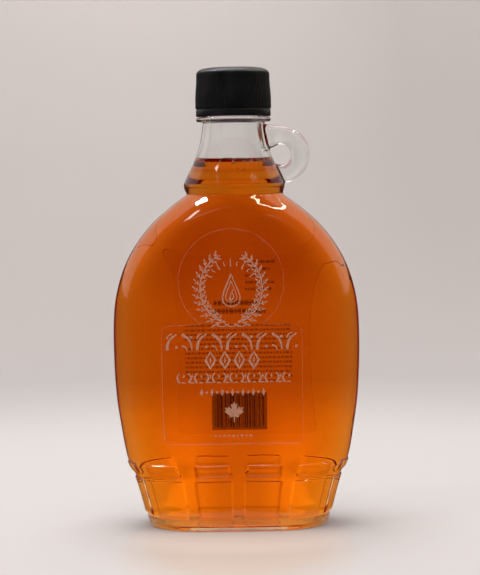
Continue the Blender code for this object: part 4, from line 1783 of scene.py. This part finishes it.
    def _friezes(self, sheet: InkSheet) -> None:
        """Rows of ornament under the wreath.

        Args:
            sheet: Where they go.
        """
        height = self.bow_row.height
        for i, across in self.bow_row.places():
            flip = (-1) ** i
            long_bow = bow((across - 1.9, height - 3.1 * flip), (across + 1.9, height + 3.1 * flip), 1.2)
            short_bow = bow((across - 1.9, height + 1.4 * flip), (across + 0.1, height + 3.3 * flip), 0.5, 5)
            sheet.draw(stroke(long_bow, 1.15))
            sheet.draw(stroke(short_bow, 0.7))
            sheet.add(disc(0.55), (across + 1.7, height - 1.9 * flip))
        height = self.diamond_row.height
        for _, across in self.diamond_row.places():
            ring = [(x + across, y + height) for x, y in lozenge(3.8, 6.4)]
            edge = [point for a, b in zip(ring, ring[1:] + ring[:1]) for point in bow(a, b, 0.0, 3)[:-1]]
            sheet.draw(stroke(edge + edge[:1], 1.05))
            sheet.add(bar(0.55, 2.0), (across, height))
        height = self.hook_row.height
        for i, across in self.hook_row.places():
            sheet.draw(stroke(bow((across, height - 1.9), (across, height + 1.9), 0.9 * (-1) ** i), 0.85))
            sheet.draw(stroke(bow((across + 0.9, height - 2.0), (across + 2.3, height - 2.0), 0.3, 5), 0.6))
            sheet.add(lozenge(0.95, 1.5), (across + 1.6, height + 0.6))
        for i, across in self.bead_row.places():
            sheet.add(disc(0.5) if i % 2 else lozenge(1.25, 3.1), (across, self.bead_row.height))
        sheet.add(maple_leaf(self.leaf_height), self.leaf_at)
        for i, across in self.foot_row.places():
            sheet.add(disc(0.36) if i % 2 else lozenge(1.3, 1.0), (across, self.foot_row.height))

    def build(self) -> None:
        """Build the film, its print and the painted highlight along its border."""
        film = film_sheet("front_film", self.shape, Face.FRONT, self._film_rows(), self.film_proud)
        settle(film, self.film.material(), "clear_film", "front_label")
        sheet = InkSheet(self.middle, self.bottom)
        self._wreath(sheet)
        self._drop(sheet)
        self._friezes(sheet)
        ink = sheet.lay("front_print", self.shape, Face.FRONT, self.ink_proud)
        settle(ink, self.ink.material(), "clear_film")
        # Painted highlight along the film's border.
        rows = self._film_rows()
        border = [(left / MM, height / MM) for height, left, _ in rows]
        border += [(right / MM, height / MM) for height, _, right in reversed(rows)]
        edge = InkSheet(0.0, 0.0)
        edge.draw(stroke(border, self.edge_line))
        line = edge.lay("front_film_edge", self.shape, Face.FRONT, self.ink_proud)
        settle(line, self.painted_edge_highlight.material(), "clear_film")


@dataclass(frozen=True)
class Dash:
    """Height of a row's bars and their shortest and longest length, in millimetres."""

    tall: float
    shortest: float
    longest: float


@dataclass
class BackLabel:
    """Clear rectangular film with rows of dark dashes, two bold rows and a striped brown panel."""

    shape: JugShape
    film: FilmFinish = field(default_factory=FilmFinish)
    ink: InkFinish = InkFinish("dark_ink_finish", (0.14, 0.016, 0.004), (0.26, 0.034, 0.010), 0.30)
    panel_ink: InkFinish = InkFinish("brown_panel_finish", (0.46, 0.090, 0.02), (0.54, 0.12, 0.03), 0.40)
    stripe_ink: InkFinish = InkFinish("stripe_ink_finish", (0.08, 0.012, 0.004), (0.16, 0.028, 0.010), 0.54)
    middle: float = 0.0020
    half_width: float = 0.0255
    edges: tuple[float, float] = (0.0350, 0.1060)
    corner: float = 0.0030
    film_proud: tuple[float, float] = (-0.00005, 0.00010)
    panel_proud: tuple[float, float] = (0.00008, 0.00012)
    ink_proud: tuple[float, float] = (0.00010, 0.00015)
    print_middle: float = 0.0008
    dash_gap: float = 0.38
    side_start: float = 3.0
    side_ends: tuple[float, ...] = (15.0, 13.5, 12.0, 15.0, 13.5)
    side_top: float = 68.6
    side_pitch: float = 2.7
    side_dash: Dash = Dash(1.1, 0.6, 2.0)
    bold_reaches: tuple[float, ...] = (9.8, 11.6)
    bold_top: float = 52.4
    bold_pitch: float = 3.3
    bold_dashes: tuple[Dash, ...] = (Dash(2.1, 0.9, 1.7), Dash(0.7, 1.2, 2.4))
    fine_count: int = 13
    fine_reach: float = 21.5
    fine_short: dict[int, float] = field(default_factory=lambda: {4: 6.0, 12: 6.0})
    fine_top: float = 43.4
    fine_pitch: float = 1.85
    fine_dash: Dash = Dash(0.85, 0.4, 1.7)
    panel_size: tuple[float, float] = (22.2, 14.8)
    panel_height: float = 9.0
    stripe_span: tuple[float, float] = (-9.8, 10.0)
    stripe_widths: tuple[float, ...] = (0.22, 0.34, 0.5, 0.72)
    stripe_gaps: tuple[float, ...] = (0.35, 0.6, 1.1)
    stripe_tall: float = 13.0
    stripe_height: float = 9.2
    seed: int = 5

    def covers(self, x: np.ndarray, y: np.ndarray, z: np.ndarray) -> np.ndarray:
        """Tell which points of the glass lie under the film.

        Args:
            x: Places along X.
            y: Places along Y.
            z: Heights.

        Returns:
            1 for each covered point, else 0.
        """
        low, high = self.edges
        outside = y > OUTER_SHARE * self.shape.face_depth(x, z)
        return ((np.abs(x - self.middle) < self.half_width) & (z > low) & (z < high) & outside).astype(float)

    def _dashes(self, sheet: InkSheet, draw: random.Random, ends: tuple[float, float], height: float,
                dash: Dash) -> None:
        """A row of short bars of uneven length.

        Args:
            sheet: Where it goes.
            draw: Where the lengths come from.
            ends: Places where the row starts and ends.
            height: Height of its middle.
            dash: Size of its bars.
        """
        place, right = ends
        while place < right - dash.shortest:
            length = min(draw.uniform(dash.shortest, dash.longest), right - place)
            sheet.add(bar(length, dash.tall), (place + length / 2.0, height))
            place += length + self.dash_gap

    def _print(self, sheet: InkSheet) -> None:
        """Rows of dashes, as seen through the jug from the front.

        Args:
            sheet: Where they go.
        """
        draw = random.Random(self.seed)
        for i, right in enumerate(self.side_ends):
            height = self.side_top - self.side_pitch * i
            self._dashes(sheet, draw, (self.side_start, right), height, self.side_dash)
        for i, reach in enumerate(self.bold_reaches):
            for dash in self.bold_dashes:
                self._dashes(sheet, draw, (-reach, reach), self.bold_top - self.bold_pitch * i, dash)
        for i in range(self.fine_count):
            reach = self.fine_reach - self.fine_short.get(i, 0.0)
            self._dashes(sheet, draw, (-reach, reach), self.fine_top - self.fine_pitch * i, self.fine_dash)

    def _stripes(self, sheet: InkSheet) -> None:
        """Uneven upright stripes over the brown panel.

        Args:
            sheet: Where they go.
        """
        draw = random.Random(self.seed + 1)
        place, right = self.stripe_span
        while place < right:
            width = draw.choice(self.stripe_widths)
            sheet.add(bar(width, self.stripe_tall), (place + width / 2.0, self.stripe_height))
            place += width + draw.choice(self.stripe_gaps)

    def build(self) -> None:
        """Build the film, its panel, the stripes on it and the print."""
        rows = rounded_rows(*self.edges, self.half_width, self.corner, self.middle)
        film = film_sheet("back_film", self.shape, Face.BACK, rows, self.film_proud)
        settle(film, self.film.material(), "clear_film", "back_label")
        panel, stripes, rows_of_dashes = (InkSheet(self.print_middle, self.edges[0]) for _ in range(3))
        panel.add(bar(*self.panel_size), (0.0, self.panel_height))
        self._stripes(stripes)
        self._print(rows_of_dashes)
        for name, sheet, proud, ink in (
            ("back_panel", panel, self.panel_proud, self.panel_ink),
            ("back_stripes", stripes, self.ink_proud, self.stripe_ink),
            ("back_print", rows_of_dashes, self.ink_proud, self.ink),
        ):
            settle(sheet.lay(name, self.shape, Face.BACK, proud), ink.material(), "clear_film")


def turned_sheet(name: str, rows: Sequence[tuple[float, float]],
                 turns: tuple[float, float] = (-180.0, 180.0)) -> bpy.types.Object:
    """Turn a profile round the jug's axis.

    Args:
        name: Name of the object.
        rows: Radius and height of each row.
        turns: Where the sheet starts and ends, in degrees from the camera's side.

    Returns:
        The object.
    """
    columns = 129
    angles = np.radians(np.linspace(turns[0] - 90.0, turns[1] - 90.0, columns))
    points = np.concatenate([round_ring(angles, radius, height) for radius, height in rows])
    number = np.arange(len(points)).reshape(len(rows), columns)
    return object_from(name, points, grid_quads(number).tolist())


def stage_card(card: bpy.types.Object, material: bpy.types.Material, glossy: bool, through: bool) -> None:
    """Put up a card that only shows mirrored in the jug, or through it.

    Args:
        card: The card.
        material: Its finish.
        glossy: Whether it shows mirrored.
        through: Whether it shows through the glass.
    """
    card.data.materials.append(material)
    card.visible_camera = False
    card.visible_diffuse = False
    card.visible_shadow = False
    card.visible_volume_scatter = False
    card.visible_glossy = glossy
    card.visible_transmission = through


@dataclass(frozen=True)
class SoftLight:
    """A soft rectangular light, with its power in watts."""

    name: str
    at: Place
    aim: Place
    size: tuple[float, float]
    power: float
    colour: Colour

    def hang(self) -> None:
        """Hang the light."""
        data = bpy.data.lights.new(self.name, "AREA")
        data.shape = "RECTANGLE"
        data.size, data.size_y = self.size
        data.energy = self.power
        data.color = self.colour
        light = bpy.data.objects.new(self.name, data)
        light.location = self.at
        light.rotation_euler = (Vector(self.aim) - Vector(self.at)).to_track_quat("-Z", "Y").to_euler()
        bpy.context.scene.collection.objects.link(light)


@dataclass(frozen=True)
class Glint:
    """A lamp that only shows as a glint in the glass: a thin band along a path, or a flat patch."""

    name: str
    path: tuple[Place, ...]
    strength: float
    colour: Colour
    width: float | None = None
    patch_size: float = 0.06
    uneven: float = 0.25

    def _material(self) -> bpy.types.Material:
        """Make its finish, a little uneven in brightness."""
        bench = ShaderBench(self.name)
        light = bench.add("ShaderNodeEmission", Color=(*self.colour, 1.0))
        least, most = (1.0 - self.uneven) * self.strength, (1.0 + self.uneven) * self.strength
        bench.join(bench.span(bench.noise(self.patch_size), least, most), light.inputs["Strength"])
        bench.join(light.outputs["Emission"], bench.output.inputs["Surface"])
        return bench.material

    def hang(self) -> None:
        """Hang the lamp."""
        places = [Vector(place) for place in self.path]
        points, quads = places, [tuple(range(len(places)))]
        if self.width is not None:
            points, quads = [], []
            for start, end in zip(places, places[1:]):
                side = (end - start).cross(start).normalized() * self.width / 2.0
                first = len(points)
                points += [start - side, end - side, end + side, start + side]
                quads.append((first, first + 1, first + 2, first + 3))
        lamp = object_from(self.name, np.array([tuple(point) for point in points]), quads)
        stage_card(lamp, self._material(), glossy=True, through=False)


@dataclass(frozen=True)
class PaintedLightSheet:
    """A clear sheet behind the jug, seen only through the glass, that paints light where it lifts what is
    seen through it and paints shade where it dims it.

    heights says how many times brighter each colour gets at a height, and across how much of that holds at
    a distance from the middle. reach is how far the sheet stands from the axis, sideways and to the back.
    """

    name: str
    heights: Levels
    across: tuple[tuple[float, float], ...]
    reach: tuple[float, float]
    most: float = 2.5
    lift: float = 0.0004
    rows: int = 8
    turns: tuple[float, float] = (60.0, 300.0)

    def _material(self) -> bpy.types.Material:
        """Make its finish."""
        bench = ShaderBench(self.name)
        parts = bench.add("ShaderNodeSeparateXYZ")
        bench.join(bench.place, parts.inputs["Vector"])
        top, side = self.heights[-1][0], self.across[-1][0]
        colours = [(at / top, tuple(value / self.most for value in colour)) for at, colour in self.heights]
        times = bench.add("ShaderNodeVectorMath")
        times.operation = "MULTIPLY"
        bench.join(bench.ramp(bench.math("DIVIDE", parts.outputs["Z"], top), colours), times.inputs[0])
        times.inputs[1].default_value = (self.most,) * 3
        shares = [(at / side, (share / self.most,) * 3) for at, share in self.across]
        sideways = bench.math("DIVIDE", bench.math("ABSOLUTE", parts.outputs["X"]), side)
        share = bench.math("MULTIPLY", bench.ramp(sideways, shares), self.most)
        mix = bench.add("ShaderNodeMix")
        mix.data_type, mix.clamp_factor = "VECTOR", False
        bench.join(share, mix.inputs["Factor"])
        vectors = [socket for socket in mix.inputs if socket.type == "VECTOR"]
        vectors[-2].default_value = (1.0, 1.0, 1.0)
        bench.join(times.outputs["Vector"], vectors[-1])
        result = next(socket for socket in mix.outputs if socket.type == "VECTOR")
        clear = bench.add("ShaderNodeBsdfTransparent")
        bench.join(result, clear.inputs["Color"])
        bench.join(clear.outputs["BSDF"], bench.output.inputs["Surface"])
        return bench.material

    def stand(self) -> None:
        """Stand the sheet behind the jug."""
        low, top = self.heights[0][0] + self.lift, self.heights[-1][0]
        rows = [(1.0, height) for height in np.linspace(low, top, self.rows)]
        sheet = turned_sheet(self.name, rows, self.turns)
        for vert in sheet.data.vertices:
            vert.co.x *= self.reach[0]
            vert.co.y *= self.reach[1]
        stage_card(sheet, self._material(), glossy=False, through=True)


# Painted light: brightens the table seen through the jug's lower body, standing in for the light that the jug
# gathers onto it.
TABLE_GLOW = PaintedLightSheet(
    "table_glow",
    heights=(
        (0.0, (1.55, 1.70, 1.30)), (0.008, (1.70, 1.90, 1.40)), (0.016, (1.72, 1.95, 1.40)),
        (0.024, (1.68, 1.90, 1.40)), (0.031, (1.50, 1.66, 1.25)), (0.037, (1.46, 1.60, 1.20)),
        (0.043, (1.35, 1.45, 1.15)), (0.049, (1.15, 1.20, 1.10)), (0.056, (1.0, 1.0, 1.0)),
    ),
    across=((0.0, 0.18), (0.008, 0.22), (0.018, 0.85), (0.026, 1.10), (0.031, 1.35)),
    reach=(0.0520, 0.0265),
)
# Painted shade: dims what is seen through the jug's shoulders.
SHOULDER_DUSK = PaintedLightSheet(
    "shoulder_dusk",
    heights=(
        (0.080, (1.0, 1.0, 1.0)), (0.096, (0.80, 0.66, 0.66)), (0.108, (0.75, 0.55, 0.58)),
        (0.122, (0.76, 0.56, 0.58)), (0.131, (1.0, 1.0, 1.0)),
    ),
    across=((0.0, 0.72), (0.030, 1.15)),
    reach=(0.0900, 0.0700),
)
GLINTS = (
    Glint(
        "spot_lamp",
        ((-0.655, 0.380, 1.075), (-0.685, 0.120, 1.105), (-0.583, -0.190, 1.185), (-0.565, 0.020, 1.190)),
        60.0, (1.0, 1.0, 1.0),
    ),
    Glint(
        "frame_lamp",
        (
            (0.479, -0.590, 1.073), (0.613, 0.054, 1.166), (0.577, 0.623, 0.978), (0.658, 0.602, 0.935),
            (0.735, 0.315, 1.030), (0.714, -0.109, 1.097), (0.563, -0.441, 1.106), (0.479, -0.590, 1.073),
        ),
        30.0, (1.0, 0.95, 0.72), 0.018,
    ),
    Glint(
        "arc_lamp",
        ((-0.691, -0.521, 0.979), (-0.517, -0.763, 0.921), (-0.281, -0.957, 0.824), (-0.051, -1.041, 0.756)),
        1.5, (1.0, 0.92, 0.85), 0.022,
    ),
    Glint(
        "arc_lamp", ((0.454, -0.855, 0.864), (0.695, -0.531, 0.970), (0.871, -0.364, 0.894)),
        1.5, (1.0, 0.92, 0.85), 0.022,
    ),
)


@dataclass
class Studio:
    """Pale bowl-shaped backdrop, soft lights, glint lamps, cards, sheets of painted light and shade behind
    the jug and the camera.
    """

    finish: BackdropFinish = field(default_factory=BackdropFinish)
    painted_light_sheets: tuple[PaintedLightSheet, ...] = (TABLE_GLOW, SHOULDER_DUSK)
    glints: tuple[Glint, ...] = GLINTS
    lights: tuple[SoftLight, ...] = (
        SoftLight("overhead", (-0.04, 0.10, 0.62), (-0.02, 0.09, 0.0), (0.40, 0.34), 1.44, (0.97, 1.0, 1.0)),
        SoftLight("window", (-0.9, -0.5, 1.3), (0.0, 0.0, 0.1), (0.22, 0.16), 1.23, (1.0, 1.0, 1.0)),
    )
    sky: Colour = (1.0, 0.965, 0.94)
    sky_strength: float = 0.832
    hub_radius: float = 0.002
    floor_radius: float = 0.60
    wall_radius: float = 1.60
    sweep_height: float = 0.90
    wall_top: float = 1.70
    floor_rows: int = 30
    sweep_rows: int = 24
    wall_rows: int = 9
    felt_shades: tuple[float, float] = (0.006, 0.012)
    card_lift: float = 0.0015
    hood_start: float = 0.041
    hood_turn: float = 104.0
    hood_roof: float = 0.50
    cloth_top: float = 0.26
    eye: Place = (0.0, -0.758, 0.1434)
    pitch: float = -3.71
    roll: float = -0.81
    yaw: float = -0.127
    focal_px: float = 1910.0
    picture: tuple[int, int] = (480, 575)
    sensor: float = 36.0

    def _profile(self) -> list[tuple[float, float]]:
        """Radius and height along the bowl, from its middle to its rim."""
        run = self.floor_radius - self.hub_radius
        rows = [(self.hub_radius + run * k / self.floor_rows, 0.0) for k in range(self.floor_rows + 1)]
        reach = self.wall_radius - self.floor_radius
        for step in range(1, self.sweep_rows + 1):
            turn = math.radians(90.0 * step / self.sweep_rows)
            out, up = reach * math.sin(turn), self.sweep_height * (1.0 - math.cos(turn))
            rows.append((self.floor_radius + out, up))
        heights = np.linspace(self.sweep_height, self.wall_top, self.wall_rows)[1:]
        return rows + [(self.wall_radius, height) for height in heights]

    def _backdrop(self) -> None:
        """Turn the bowl and close its seam."""
        bowl = turned_sheet("backdrop", [(0.0, 0.0)] + self._profile())
        mesh = bmesh.new()
        mesh.from_mesh(bowl.data)
        bmesh.ops.remove_doubles(mesh, verts=mesh.verts, dist=0.0001)
        mesh.to_mesh(bowl.data)
        mesh.free()
        bowl.data.materials.append(self.finish.material())

    def _felt(self) -> bpy.types.Material:
        """Make black felt."""
        bench = ShaderBench("black_felt")
        felt = bench.add("ShaderNodeBsdfDiffuse")
        dark, light = ((shade,) * 3 for shade in self.felt_shades)
        bench.join(bench.ramp(bench.noise(0.02), ((0.3, dark), (0.7, light))), felt.inputs["Color"])
        bench.join(felt.outputs["BSDF"], bench.output.inputs["Surface"])
        return bench.material

    def _black_cards(self) -> None:
        """Set black cards that only show mirrored: a hood before the jug, and a low cloth behind it."""
        lift = self.card_lift
        rows = [(radius - lift * (height > 0.0), height + lift) for radius, height in self._profile()
                if radius > self.hood_start]
        rows += [(radius, rows[-1][1]) for radius in np.linspace(rows[-1][0], self.hood_roof, 9)[1:]]
        felt = self._felt()
        hood = turned_sheet("black_hood", rows, (-self.hood_turn, self.hood_turn))
        stage_card(hood, felt, glossy=True, through=False)
        low = [row for row in rows if row[1] < self.cloth_top]
        cloth = turned_sheet("black_cloth", low, (self.hood_turn, 360.0 - self.hood_turn))
        stage_card(cloth, felt, glossy=True, through=False)

    def _sky(self) -> None:
        """Set the even light of the room."""
        world = bpy.data.worlds.new("sky")
        world.use_nodes = True
        background = world.node_tree.nodes["Background"]
        background.inputs["Color"].default_value = (*self.sky, 1.0)
        background.inputs["Strength"].default_value = self.sky_strength
        bpy.context.scene.world = world

    def _camera(self) -> None:
        """Set the camera at the photograph's place and angle."""
        data = bpy.data.cameras.new("camera")
        data.sensor_width = self.sensor
        data.lens = self.focal_px * self.sensor / max(self.picture)
        data.clip_start = 0.01
        camera = bpy.data.objects.new("camera", data)
        yaw, tilt, roll = (math.radians(a) for a in (self.yaw, 90.0 + self.pitch, self.roll))
        turned = Matrix.Rotation(yaw, 4, "Z") @ Matrix.Rotation(tilt, 4, "X") @ Matrix.Rotation(roll, 4, "Z")
        camera.matrix_world = Matrix.Translation(self.eye) @ turned
        bpy.context.scene.collection.objects.link(camera)
        bpy.context.scene.camera = camera

    def build(self) -> None:
        """Set up the whole studio."""
        self._backdrop()
        self._black_cards()
        for painted_light_sheet in self.painted_light_sheets:
            painted_light_sheet.stand()
        for light in (*self.glints, *self.lights):
            light.hang()
        self._sky()
        self._camera()
        scene = bpy.context.scene
        scene.view_settings.view_transform = "Standard"
        scene.cycles.max_bounces = 40
        scene.cycles.transmission_bounces = 32
        scene.cycles.glossy_bounces = 12
        scene.cycles.transparent_max_bounces = 24
        scene.cycles.diffuse_bounces = 4
        LOG.info("studio ready")


def main() -> None:
    """Build every piece of the jug and its studio."""
    logging.basicConfig(level=logging.INFO, format="%(name)s: %(message)s")
    Studio().build()
    shape = JugShape()
    front, back = FrontLabel(shape), BackLabel(shape)
    GlassFlask(shape, covers=(front.covers, back.covers)).build()
    SyrupFill(shape).build()
    ScrewCap().build()
    front.build()
    back.build()


if __name__ == "__main__":
    main()
